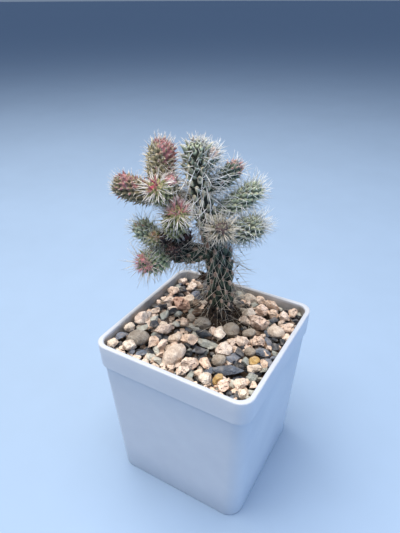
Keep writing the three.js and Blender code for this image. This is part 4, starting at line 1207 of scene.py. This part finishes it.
# Areoles in the plant's own spiral, closer together towards the growing tip
def spiralAreoles(joint, rng):
    low = joint["base"] + plant["firstAreole"]
    if isStem(joint):
        low = plant["collar"] - stemStations[0][2]
    s = np.linspace(low, joint["reach"] - plant["lastAreole"], 900)
    radius = radiusOf(joint, s)
    slope = np.gradient(radius, s)
    cell = joint["cell"]
    if isStem(joint):
        high = smoothStep(s / joint["reach"], *plant["topCellFrom"])
        cell = cell * (1 - (1 - plant["topCell"]) * high)
    cell = cell * ramp(plant["tipCell"], joint["reach"] - s, 0, plant["tipLength"])
    share = np.diff(s) * (fullTurn * radius * np.hypot(1, slope) / cell)[1:]
    count = np.concatenate([[0], np.cumsum(share)])
    number = int(count[-1])
    places = np.interp(np.arange(number) + 0.5, count, s)
    angles = np.arange(number) * goldenTurn + rng.uniform(*anyTurn)
    return places, angles


def meshStepOf(joint):
    return plant["oldStep" if joint["slot"] == "old_stem" else "youngStep"]


# Where the rings of the skin's mesh lie, closer together over the tip
def tubeRings(joint):
    step = meshStepOf(joint)
    half = stemStations[-1][3] if isStem(joint) else joint["width"] / 2
    straight = joint["reach"] - half
    count = max(plant["fewestRings"], int((straight - joint["base"]) / step))
    rings = list(np.linspace(joint["base"], straight, count))
    arcs = max(plant["fewestArcs"], int(half * math.pi / 2 / step))
    rings += [straight + half * math.sin(math.pi / 2 * k / arcs) for k in range(1, arcs)]
    return np.array(rings)


def ageAt(joint, z):
    if isStem(joint):
        return np.interp(z, plant["heights"], plant["ages"])
    return np.full(len(z), jointAges.get(joint["node"], plant["slots"][joint["slot"]]["age"]))


# The stem turns from earth brown over nearly black to grey green at the top; shade darkens the flesh of
# the young joints and of the stem's top while their leaves keep the full colour: painted shade between
# the leaves
def bodyAt(joint, z, shade=1.0):
    old, fresh = np.array(bodies[joint["body"]]), np.array(bodies["paleGreen"])
    if joint["slot"] != "old_stem":
        old = old * shade
    colours = np.tile(old, (len(z), 1))
    if isStem(joint):
        aged = ageAt(joint, z)[:, None]
        earthy = 1 - smoothStep(z, *plant["earthy"])[:, None]
        colours = old * aged + fresh * max(shade, plant["stemPaintedShade"]) * (1 - aged)
        colours = colours * (1 - earthy) + np.array(bodies["peat"]) * earthy
    return np.hstack([colours, np.ones((len(z), 1))])


# The tubercles of the stem are narrower at its top
def girthAt(joint, z):
    return np.interp(z, plant["girthFrom"], plant["girths"]) if isStem(joint) else np.ones(len(z))


# Red at the tip; the two conical joints are red only on their sunny side
def flushAt(joint, near, normal):
    reach = joint["blushReach"]
    if reach < plant["longBlush"]:
        return joint["blush"] * (1 - smoothStep(near, reach * plant["blushFrom"], reach))
    across, rise = plant["sunnyWay"]
    sunny = normal @ unit(eyeRight * across + upward * rise)
    side = ramp(plant["shadeBlush"], sunny, *plant["sunnyEdge"])
    return joint["blush"] * (1 - smoothStep(near, reach * plant["longBlushFrom"], reach)) * side


# The core tube, plus a loose edge under each tubercle for the tree to raise it by
def buildSkin(joint, areoles):
    rings = tubeRings(joint)
    widest = float(radiusOf(joint, rings).max())
    count = max(plant["fewestSides"], int(fullTurn * widest / meshStepOf(joint)))
    angle = np.tile(np.arange(count) * fullTurn / count, len(rings))
    s = np.repeat(rings, count)
    points, normal, toTip = onSkin(joint, s, angle)
    swell = swellOf(joint, s, plant["knobRise"])
    if isStem(joint):
        swell = swell * smoothStep(points[:, 2], plant["collar"] - 4, plant["collar"])
    flush = flushAt(joint, joint["reach"] - s, normal) * tufts.get(joint["node"], noTuft)[-1]
    pole, foot = (frameAt(joint, run)[0][0] for run in (joint["reach"], rings[0]))
    total = len(points)
    last = total - count
    faces = tubeFaces(len(rings), count)
    faces += [(last + i, last + (i + 1) % count, total) for i in range(count)]
    faces += [((i + 1) % count, i, total + 1) for i in range(count)]
    # each tubercle: high at its areole, sinking into the skin below it
    places, angles = areoles
    top, *_ = onSkin(joint, places, angles, plant["knobTop"])
    length = plant["slots"][joint["slot"]]["tubercle"]
    length = length * ramp(plant["knobShare"], joint["reach"] - places, 0, plant["knobEnd"])
    if isStem(joint):
        length = length * np.interp(top[:, 2], plant["girthFrom"], plant["knobs"])
    foots, *_ = onSkin(joint, np.maximum(places - length, joint["base"]), angles, plant["knobFoot"])
    allPoints = np.vstack([points, [pole, foot], top, foots])
    z = allPoints[:, 2]
    start, knobs = total + 2, len(top)
    zeros = np.zeros(2 * knobs)
    ridges = [(start + k, start + knobs + k) for k in range(knobs)]
    return makePiece(
        joint["node"] + "_flesh", allPoints, faces, ridges,
        ridge=np.concatenate([np.zeros(start), zeros + 1]),
        swell=np.concatenate([swell, [swell[-1], 0], zeros]) * mm,
        flush=np.concatenate([flush, [flush[-1], 0], zeros]),
        toTip=np.vstack([toTip, np.zeros((2 + 2 * knobs, 3))]),
        girth=girthAt(joint, z), age=ageAt(joint, z), body=bodyAt(joint, z, plant["fleshPaintedShade"]),
        tone=np.tile(opaque(tones[joint["tone"]]), (len(z), 1)))


def makeTubercleTree():
    tree, given, result = newGrowth("tubercles", ("Width", "Float", 0.0021), ("Overhang", "Float", 0.4),
                                    ("Unevenness", "Float", 0.00018))
    chosen = mathNode(tree, "GREATER_THAN", field(tree, "ridge"), 0.5)
    inputs = {"Geometry": given["Geometry"], "Selection": chosen}
    parts = addNode(tree, "GeometryNodeSeparateGeometry", inputs, domain="POINT").outputs
    near = addNode(tree, "GeometryNodeProximity", {0: parts["Selection"]}, target_element="EDGES")
    width = product(tree, given["Width"], field(tree, "girth"))
    share = mathNode(tree, "DIVIDE", near.outputs["Distance"], width)
    marked = storeField(tree, parts["Inverted"], "crest", rangeNode(tree, share, 1.0, 0.15))
    position, normal = inputField(tree, "Position"), inputField(tree, "Normal")
    lean = scaled(tree, vectorField(tree, "toTip"), given["Overhang"])
    rise = product(tree, field(tree, "crest"), field(tree, "swell"))
    wobble = mathNode(tree, "SUBTRACT", noise(tree, position, 700.0, 2.0), 0.5)
    lifted = scaled(tree, vectorNode(tree, "ADD", normal, lean), rise)
    uneven = scaled(tree, normal, product(tree, wobble, given["Unevenness"]))
    shaped = setPosition(tree, marked, Offset=vectorNode(tree, "ADD", lifted, uneven))
    return finishGrowth(tree, shaped, given, result)


# How dark the furrows are painted (painted shade) and how pale the crests are (partly their own colour,
# partly painted highlight) beside the body, and a tubercle's half width
skins = {
    "old_stem": {"name": "oldSkin", "furrow": 0.15, "ridge": 3.2, "width": 1.9},
    "young_joint": {"name": "youngSkin", "furrow": 0.28, "ridge": 1.9, "width": 1.25},
    "red_tip_joint": {"name": "redTipSkin", "furrow": 0.28, "ridge": 1.7, "width": 1.25},
    "dark_bud": {"name": "darkBudSkin", "furrow": 0.25, "ridge": 2.2, "width": 1.1},
}


def makeSkinMaterial(looks):
    material, tree = startMaterial(looks["name"], Specular_IOR_Level=0.35)
    skin = addGroup(tree, skinGroup, {
        "Crest": meshValue(tree, "crest"), "Flush": meshValue(tree, "flush"),
        "Age": meshValue(tree, "age"),
        "Body": meshValue(tree, "body", "Color"), "FurrowShade": looks["furrow"], "RidgePaleAndHighlight": looks["ridge"],
        "Blush": meshValue(tree, "tone", "Color")})
    return finishMaterial(material, skin["Color"], skin["Roughness"], (skin["Height"], 0.35, 0.0003))


# What each areole of a joint carries: wool, thorns and, near a tip, a small pointed leaf
def areoleRows(joint, areoles, rng):
    places, angles = areoles
    points, normal, toTip = onSkin(joint, places, angles)
    near = joint["reach"] - places
    swell = swellOf(joint, places, plant["seatRise"])
    seat = points + (normal + toTip * plant["overhang"]) * swell[:, None]
    z, count = seat[:, 2], len(near)
    age, flush = ageAt(joint, z), flushAt(joint, near, normal)
    droop = np.full(count, plant["armDroop"] if joint["slot"] == "old_stem" else 0.0)
    fans = np.full(count, joint["fan"])
    reach, thick = (np.full(count, float(joint[key])) for key in ("thorn", "thick"))
    if isStem(joint):
        droop = np.interp(z, plant["heights"], plant["droops"])
        thick = thick * np.interp(z, plant["heights"], plant["thins"])
        reach = reach * ramp(plant["topShare"], near, *plant["topThorns"])
        window = unit(-eyeForward - plant["bareTurn"] * eyeRight)
        bare = (normal @ window > plant["bareFacing"]) & (z > plant["bareFrom"])
        fans = np.where((z > plant["broomFrom"]) & ~bare, fans + plant["broomMore"], fans)
        fans = np.where(bare | (z < plant["buried"]), plant["fewThorns"], fans)
    # a star's long thorns stand round its tip and lean away from it
    splay, ring, beyond, fewer = stars.get(joint["node"], noStar)
    lean = plant["lean"] + plant["tipLean"] * (1 - smoothStep(near, 0, plant["tipLeanEnd"]))
    splay = splay * smoothStep(near, 0, plant["splayStart"])
    lean = lean - splay * (1 - smoothStep(near, *plant["splayEnd"]))
    reach = reach * (1 - (1 - beyond) * smoothStep(near, ring, ring + 1.0))
    fans = np.where(near > ring + 0.5, fewer, fans)
    reach = reach * ramp(undersides.get(joint["node"], 1), normal[:, 2], *plant["underside"])
    # bristles crowd on the tip itself
    tuft = dict(zip(tuftKeys, tufts.get(joint["node"], noTuft)))
    inTuft = near < tuft["reach"]
    droop = np.where(inTuft & (tuft["lift"] > 0), -tuft["lift"], droop)
    leafReach = joint["leafReach"]
    leaf = joint["leaf"] * (1 - smoothStep(near, leafReach * plant["leafFade"], leafReach))
    leaf = leaf * np.where(inTuft & (joint["slot"] == "red_tip_joint"), plant["leafShare"], 1.0)
    pad = plant["slots"][joint["slot"]]["pad"] * ramp(plant["padShare"], near, 0, plant["tipLength"])
    pad = pad * np.where(inTuft, plant["padTuft"], 1.0)
    worn = age
    if isStem(joint):
        worn = np.maximum(age, plant["padOld"])
        leaf = leaf * ramp(plant["leafShare"], near, 0, plant["tipLength"])
        pad = pad * ramp(plant["padEarthy"], z, *plant["earthy"])
        pad = pad * np.interp(z, plant["capped"], (1, plant["capGrowth"], plant["capGrowth"], 1))
    pad = pad * (plant["padYoung"] + (1 - plant["padYoung"]) * worn)
    return {
        "place": seat, "facing": unit(normal + toTip * lean[:, None]), "toTip": toTip,
        "reach": np.where(inTuft, tuft["length"], reach) * mm,
        "thick": np.where(inTuft, tuft["thick"], thick) * mm, "droop": droop,
        "spread": np.where(inTuft, tuft["spread"], joint["spread"]),
        "fan": np.where(inTuft, tuft["fan"], fans),
        "phase": np.array([rng.uniform(*anyTurn) for _ in near]),
        "leaf": np.where(leaf > plant["leafLeast"], leaf, 0) * mm, "pad": pad * mm, "age": age,
        "flush": flush, "padFlush": flush * plant["padFlush"],
        "thornFlush": np.where(inTuft, tuft["tint"], 0.0),
        "tone": np.tile(opaque(tones[joint["tone"]]), (count, 1)), "body": bodyAt(joint, z),
    }


def areolePiece(name, rows, onlyLeafy=False):
    joined = {key: np.concatenate([row[key] for row in rows]) for key in rows[0]}
    if onlyLeafy:
        chosen = joined["leaf"] > 0
        joined = {key: values[chosen] for key, values in joined.items()}
    return makePiece(name, joined.pop("place"), **joined)


# A cone one unit long, with its place along itself stored, and its axes
def makeCone(tree, sides, segments, foot, tip):
    cone = addNode(tree, "GeometryNodeMeshCone", {
        "Vertices": sides, "Side Segments": segments, "Radius Bottom": foot, "Radius Top": tip,
        "Depth": 1.0}, fill_type="NGON").outputs["Mesh"]
    axes = separate(tree, inputField(tree, "Position"))
    return storeField(tree, cone, "along", axes["Z"]), axes


# How thorns fan out from an areole, and how a thorn's sheath widens it above its foot
thornForm = {
    "turns": 2, "uneven": 0.4, "leanPower": 0.6, "leastLean": 0.06, "thick": (0.8, 1.2),
    "foot": 0.6, "growth": 1.65,
}


# A fan of slightly bent thorns on every areole
def makeThornTree():
    tree, given, result = newGrowth(
        "thorns", ("Uneven", "Float", 0.3), ("Bend", "Float", 2.2), ("Seed", "Int", 1))
    fan = field(tree, "fan", "INT")
    inputs = {"Geometry": given["Geometry"], "Amount": fan}
    copies = addNode(tree, "GeometryNodeDuplicateElements", inputs, domain="POINT").outputs
    index = inputField(tree, "Index")

    def scatter(low, high, offset):
        return randomField(tree, low, high, mathNode(tree, "ADD", given["Seed"], float(offset)), index)

    stored = storeField(tree, copies["Geometry"], "tint", scatter(0.0, 1.0, 1))
    shift = scatter(-thornForm["uneven"], thornForm["uneven"], 2)
    step = mathNode(tree, "DIVIDE", mathNode(tree, "ADD", copies["Duplicate Index"], shift), fan)
    turns = thornForm["turns"] * fullTurn
    azimuth = mathNode(tree, "MULTIPLY_ADD", step, turns, field(tree, "phase"))
    leanShare = mathNode(tree, "POWER", scatter(0.0, 1.0, 3), thornForm["leanPower"])
    lean = mathNode(tree, "MULTIPLY_ADD", leanShare, field(tree, "spread"), thornForm["leastLean"])
    facing, toTip = vectorField(tree, "facing"), vectorField(tree, "toTip")
    across = vectorNode(tree, "NORMALIZE", vectorNode(tree, "CROSS_PRODUCT", toTip, facing))
    rise = vectorNode(tree, "CROSS_PRODUCT", facing, across)

    def between(first, second, angle):
        return vectorNode(tree, "ADD", scaled(tree, first, mathNode(tree, "COSINE", angle)),
                          scaled(tree, second, mathNode(tree, "SINE", angle)))

    straight = between(facing, between(across, rise, azimuth), lean)
    weight = combine(tree, 0.0, 0.0, product(tree, field(tree, "droop"), -1.0))
    direction = vectorNode(tree, "NORMALIZE", vectorNode(tree, "ADD", straight, weight))
    inputs = {"Axis": (0, 0, 1), "Angle": scatter(0.0, 6.28, 4)}
    spin = addNode(tree, "FunctionNodeAxisAngleToRotation", inputs).outputs[0]
    inputs = {"Rotation": spin, "Factor": 1.0, "Vector": direction}
    aligned = addNode(tree, "FunctionNodeAlignRotationToVector", inputs, axis="Z").outputs[0]
    longer = mathNode(tree, "MULTIPLY_ADD", scatter(-1.0, 1.0, 5), given["Uneven"], 1.0)
    thick = product(tree, field(tree, "thick"), scatter(*thornForm["thick"], 6))
    scale = combine(tree, thick, thick, product(tree, field(tree, "reach"), longer))
    marked, axes = makeCone(tree, 3, 3, 1.0, 0.0)
    belly = mathNode(tree, "MULTIPLY_ADD", axes["Z"], thornForm["growth"], thornForm["foot"])
    bend = product(tree, axes["Z"], axes["Z"], given["Bend"])
    bent = mathNode(tree, "ADD", product(tree, axes["X"], belly), bend)
    formed = combine(tree, bent, product(tree, axes["Y"], belly), axes["Z"])
    thorn = setPosition(tree, marked, Position=formed)
    placed = instanceOn(tree, stored, thorn, Rotation=aligned, Scale=scale)
    return finishGrowth(tree, placed, given, result)


# A felted pad on every areole
def makeWoolTree():
    tree, given, result = newGrowth(
        "areoleWool", ("Height", "Float", 1.45), ("Depth", "Float", 0.6), ("Fluff", "Float", 0.00035))
    ball = addNode(tree, "GeometryNodeMeshIcoSphere", {"Radius": 1.0, "Subdivisions": 2}).outputs["Mesh"]
    turned = faceAlong(tree, vectorField(tree, "facing"), vectorField(tree, "toTip"))
    full = product(tree, randomField(tree, 0.75, 1.2, 11), field(tree, "pad"))
    height, depth = product(tree, full, given["Height"]), product(tree, full, given["Depth"])
    scale = combine(tree, full, height, depth)
    real = realised(tree, instanceOn(tree, given["Geometry"], ball, Rotation=turned, Scale=scale))
    fluff = mathNode(tree, "SUBTRACT", noise(tree, inputField(tree, "Position"), 3000.0, 1.0), 0.45)
    push = scaled(tree, inputField(tree, "Normal"), product(tree, fluff, given["Fluff"]))
    return finishGrowth(tree, setPosition(tree, real, Offset=push), given, result)


# Small round pointed leaves that stand below the youngest areoles
leaves = {
    "foot": 0.8, "tip": 0.12, "belly": 0.45, "lengths": (0.7, 1.25),
    "dark": 0.75, "light": 1.5, "rim": (0.72, 0.66, 0.55), "bump": (0.3, 0.0002),
}


def makeLeafTree():
    tree, given, result = newGrowth(
        "tipLeaves", ("Thickness", "Float", 0.26), ("Flatness", "Float", 1.0), ("Bend", "Float", -1.2),
        ("Forward", "Float", 0.6), ("Sink", "Float", 0.0005), ("Scatter", "Float", 0.4))
    marked, axes = makeCone(tree, 6, 4, leaves["foot"], leaves["tip"])
    side = mathNode(tree, "DIVIDE", mathNode(tree, "ABSOLUTE", axes["X"]), leaves["foot"])
    marked = storeField(tree, marked, "edge", side)
    swollen = mathNode(tree, "SINE", product(tree, axes["Z"], math.pi))
    belly = mathNode(tree, "ADD", 1.0, product(tree, swollen, leaves["belly"]))
    curl = product(tree, axes["Z"], axes["Z"], given["Bend"])
    curled = mathNode(tree, "ADD", product(tree, axes["Y"], belly), curl)
    formed = combine(tree, product(tree, axes["X"], belly), curled, axes["Z"])
    leaf = setPosition(tree, marked, Position=formed)
    toTip = vectorField(tree, "toTip")
    forward = scaled(tree, toTip, given["Forward"])
    leaning = vectorNode(tree, "ADD", vectorField(tree, "facing"), forward)
    stray = combine(tree, *(randomField(tree, -1.0, 1.0, 31 + axis) for axis in range(3)))
    facing = vectorNode(tree, "ADD", leaning, scaled(tree, stray, given["Scatter"]))
    facing = vectorNode(tree, "NORMALIZE", facing)
    turned = faceAlong(tree, facing, toTip)
    length = product(tree, field(tree, "leaf"), randomField(tree, *leaves["lengths"], 21))
    thick = product(tree, given["Thickness"], length)
    scale = combine(tree, thick, product(tree, thick, given["Flatness"]), length)
    below = scaled(tree, vectorNode(tree, "ADD", toTip, facing), product(tree, given["Sink"], -1.0))
    seated = setPosition(tree, given["Geometry"], Offset=below)
    tinted = storeField(tree, seated, "tint", randomField(tree, 0.0, 1.0, 22))
    placed = instanceOn(tree, tinted, leaf, Rotation=turned, Scale=scale)
    return finishGrowth(tree, placed, given, result)


thorns = {
    "old_stem": {"name": "oldThorns", "foot": (0.36, 0.26, 0.17), "shaft": (0.70, 0.60, 0.47),
                 "young": (0.80, 0.80, 0.79), "point": (0.66, 0.59, 0.50), "bend": 5.0},
    "young_joint": {"name": "youngThorns", "foot": (0.50, 0.46, 0.34), "shaft": (0.72, 0.60, 0.45),
                    "young": (0.80, 0.83, 0.84), "point": (0.86, 0.87, 0.90), "bend": 3.0},
    "red_tip_joint": {"name": "redTipThorns", "foot": (0.48, 0.33, 0.25), "shaft": (0.80, 0.73, 0.64),
                      "young": (0.84, 0.80, 0.76), "point": (0.86, 0.85, 0.86), "bend": 2.0},
    "dark_bud": {"name": "darkBudThorns", "foot": (0.10, 0.06, 0.05), "shaft": (0.20, 0.12, 0.10),
                 "young": (0.24, 0.15, 0.12), "point": (0.40, 0.30, 0.26), "bend": 1.5},
}


def makeThornMaterial(looks):
    material, tree = startMaterial(looks["name"], Specular_IOR_Level=0.4)
    colours = {key.capitalize(): opaque(looks[key]) for key in ("foot", "shaft", "young", "point")}
    tint = addGroup(tree, thornGroup, {
        "Along": meshValue(tree, "along"), "Tint": meshValue(tree, "tint"),
        "Age": meshValue(tree, "age"),
        "Flush": meshValue(tree, "thornFlush"), "Blush": meshValue(tree, "tone", "Color"), **colours})
    return finishMaterial(material, tint["Color"], tint["Roughness"])


wool = {
    "dark": (0.26, 0.135, 0.090), "light": (0.66, 0.46, 0.34), "fresh": (0.70, 0.64, 0.48),
    "bump": (0.6, 0.0003),
}


def makeWoolMaterial():
    material, tree = startMaterial(
        "areoleWool", Roughness=0.95, Specular_IOR_Level=0.15, Sheen_Weight=0.3)
    felt = addMottle(tree, wool["dark"], wool["light"], 300.0, 0.4)
    young = rangeNode(tree, meshValue(tree, "age"), 0.4, 0.85, 1.0, 0.0)
    fresh = mixColour(tree, young, felt["Color"], opaque(wool["fresh"]))
    colour = mixColour(tree, meshValue(tree, "padFlush"), fresh, meshValue(tree, "tone", "Color"))
    return finishMaterial(material, colour, bump=(felt["Height"], *wool["bump"]))


def makeLeafMaterial():
    material, tree = startMaterial("tipLeaf", Specular_IOR_Level=0.4)
    body = meshValue(tree, "body", "Color")
    along, tint = meshValue(tree, "along"), meshValue(tree, "tint")
    dark, light = (scaled(tree, body, leaves[key]) for key in ("dark", "light"))
    patch = addMottle(tree, dark, light, 300.0, 0.4)
    # in shade where it leaves the skin
    shaded = scaled(tree, patch["Color"], rangeNode(tree, along, 0.0, 0.5, 0.4, 1.0))
    chance = rangeNode(tree, mathNode(tree, "SUBTRACT", meshValue(tree, "flush"), tint), -0.12, 0.06)
    red = product(tree, rangeNode(tree, along, 0.0, 0.5, 0.45, 1.0), chance)
    flushed = mixColour(tree, red, shaded, meshValue(tree, "tone", "Color"))
    # a pale rim along both edges and at the point, stronger on some than on others
    rim = mathNode(tree, "MAXIMUM", rangeNode(tree, meshValue(tree, "edge"), 0.55, 1.0),
                   rangeNode(tree, along, 0.5, 1.0))
    mixed = mathNode(tree, "FRACT", product(tree, tint, 7.0))
    strength = mathNode(tree, "MULTIPLY_ADD", mixed, 0.6, 0.35)
    young = rangeNode(tree, meshValue(tree, "age"), 0.35, 0.55, 1.0, 0.15)
    colour = mixColour(tree, product(tree, rim, strength, young), flushed, opaque(leaves["rim"]))
    rough = rangeNode(tree, patch["Height"], 0.3, 0.7, 0.4, 0.6)
    return finishMaterial(material, colour, rough, (patch["Height"], *leaves["bump"]))


# A dead scrap of flower, caught on the left of the old stem
husk = {
    "seed": 4, "petals": 9, "foot": (-7.2, 9.6, 98.2), "toward": (-0.86, -0.50, -0.05), "splay": 0.75,
    "loose": 0.5, "length": 4.6, "lengths": (0.6, 1.1), "thickness": 0.26, "flatness": 0.3, "bend": 2.0,
    "dark": (0.030, 0.018, 0.014), "light": (0.15, 0.085, 0.058), "edge": (0.34, 0.22, 0.15),
    "bump": (0.7, 0.0004),
}


def makeHuskMaterial():
    material, tree = startMaterial("deadScale", Roughness=0.85, Specular_IOR_Level=0.2)
    felt = addMottle(tree, husk["dark"], husk["light"], 450.0, 0.4)
    edge = rangeNode(tree, meshValue(tree, "along"), 0.6, 1.0, 0.0, 0.5)
    colour = mixColour(tree, edge, felt["Color"], opaque(husk["edge"]))
    return finishMaterial(material, colour, bump=(felt["Height"], *husk["bump"]))


def makeHusk(leafTree):
    rng = random.Random(husk["seed"])
    petals = range(husk["petals"])
    facing = unit(np.array([[rng.gauss(c, husk["splay"] / 2) for c in husk["toward"]] for _ in petals]))
    place = [[c + rng.uniform(-husk["loose"], husk["loose"]) for c in husk["foot"]] for _ in petals]
    across = unit(np.cross(facing, [[rng.uniform(-1, 1) for _ in range(3)] for _ in petals]))
    scrap = makePiece("dead_husk", place, facing=facing, toTip=across,
                      leaf=[husk["length"] * mm * rng.uniform(*husk["lengths"]) for _ in petals])
    growPiece(scrap, leafTree, {
        "Thickness": husk["thickness"], "Flatness": husk["flatness"], "Bend": husk["bend"],
        "Forward": 0.0,
        "Material": makeHuskMaterial()})
    handIn(scrap, "old_stem")


# Old thorns that have dropped on the gravel round the stem
fallen = {
    "seed": 12, "count": 46, "ring": (6.5, 21.0), "level": (78.2, 79.0), "rise": (-0.08, 0.12),
    "wall": -33,
    "length": (5.0, 8.5), "thick": 0.13, "spread": 0.02, "bend": 4.0, "thornSeed": 811,
}


def makeFallenThorns(thornTree, material):
    rng = random.Random(fallen["seed"])
    count = fallen["count"]
    away, turn = ([rng.uniform(*limits) for _ in range(count)] for limits in (fallen["ring"], anyTurn))
    place = [(*roundStem(a, t), rng.uniform(*fallen["level"])) for a, t in zip(away, turn)]
    heading = [rng.uniform(*anyTurn) for _ in range(count)]
    facing = unit(np.array([(math.cos(h), math.sin(h), rng.uniform(*fallen["rise"])) for h in heading]))
    zeros = np.zeros(count)
    litter = makePiece(
        "fallen_thorns", np.maximum(place, fallen["wall"]),
        facing=facing, toTip=np.tile(upward, (count, 1)),
        reach=[rng.uniform(*fallen["length"]) * mm for _ in range(count)],
        thick=zeros + fallen["thick"] * mm, droop=zeros, phase=zeros, spread=zeros + fallen["spread"],
        fan=np.ones(count, int), age=zeros + 1, thornFlush=zeros,
        tone=np.tile(opaque(tones["rust"]), (count, 1)))
    growPiece(litter, thornTree, {
        "Bend": fallen["bend"], "Seed": fallen["thornSeed"], "Material": material})
    handIn(litter, "old_stem")


def makePlant():
    rng = random.Random(plant["seed"])
    joints = makeJoints()
    tubercleTree = makeTubercleTree()
    skinMaterials = {slot: makeSkinMaterial(looks) for slot, looks in skins.items()}
    rows = {slot: [] for slot in skins}
    for name, joint in joints.items():
        slot = joint["slot"]
        areoles = spiralAreoles(joint, rng)
        flesh = buildSkin(joint, areoles)
        growPiece(flesh, tubercleTree, {
            "Width": skins[slot]["width"] * mm, "Overhang": plant["overhang"],
            "Material": skinMaterials[slot]})
        handIn(flesh, slot, name)
        rows[slot].append(areoleRows(joint, areoles, rng))
    thornTree, woolTree, leafTree = makeThornTree(), makeWoolTree(), makeLeafTree()
    woolMaterial, leafMaterial = makeWoolMaterial(), makeLeafMaterial()
    thornMaterials = {slot: makeThornMaterial(looks) for slot, looks in thorns.items()}
    for number, (slot, found) in enumerate(rows.items()):
        looks = plant["slots"][slot]
        for ending, tree, values in (
                ("_thorns", thornTree, {
                    "Bend": thorns[slot]["bend"], "Seed": 100 * number + 7,
                    "Material": thornMaterials[slot]}),
                ("_wool", woolTree, {"Material": woolMaterial}),
                ("_leaves", leafTree, {
                    "Forward": looks["leafLean"], "Sink": looks["sink"] * mm,
                    "Material": leafMaterial})):
            piece = areolePiece(slot + ending, found, onlyLeafy=ending == "_leaves")
            growPiece(piece, tree, values)
            handIn(piece, slot)
            print(piece.name, len(piece.data.polygons), "faces")
    makeHusk(leafTree)
    makeFallenThorns(thornTree, thornMaterials["old_stem"])


makePlant()
print("plant made")


# Stage: plain floor, soft light from above, a little fill

stage = {
    "floor": (0.31, 0.42, 0.58), "radius": 20.0, "sky": (0.55, 0.72, 1.0), "skyStrength": 0.33,
    "lookAt": (0, 0, 0.09),
    # place, size, power, colour
    "lights": {
        "overheadLight": ((-0.13, -0.07, 0.90), 0.9, 16.8, (1.0, 0.95, 0.88)),
        "rightFill": ((0.70, 0.05, 0.25), 0.6, 1.7, (0.28, 0.56, 1.0)),
    },
}


def makeStage():
    ring = circle(stage["radius"] / mm, 0, 64)
    floor = makePiece("stage_floor", ring, [tuple(range(len(ring)))])
    material, tree = startMaterial("paleFloor", Specular_IOR_Level=0.2)
    paint = addMottle(tree, [c * 0.95 for c in stage["floor"]], stage["floor"], 9.0, 0.6)
    rough = rangeNode(tree, paint["Height"], 0.3, 0.7, 0.7, 0.85)
    floor.data.materials.append(finishMaterial(material, paint["Color"], rough))
    world = bpy.data.worlds.new("softSky")
    world.use_nodes = True
    background = next(n for n in world.node_tree.nodes if n.type == "BACKGROUND")
    background.inputs["Color"].default_value = opaque(stage["sky"])
    background.inputs["Strength"].default_value = stage["skyStrength"]
    bpy.context.scene.world = world
    bpy.context.scene.view_settings.view_transform = "Standard"
    for name, (place, size, power, colour) in stage["lights"].items():
        data = bpy.data.lights.new(name, "AREA")
        data.shape, data.size, data.energy, data.color = "SQUARE", size, power, colour
        light = bpy.data.objects.new(name, data)
        away = unit(np.array(place) - stage["lookAt"])
        side = unit(np.cross((0, 1, 0), away))
        turn = Matrix(np.column_stack([side, np.cross(away, side), away]).tolist())
        light.matrix_world = Matrix.Translation(place) @ turn.to_4x4()
        bpy.context.scene.collection.objects.link(light)


makeStage()
print("stage made")
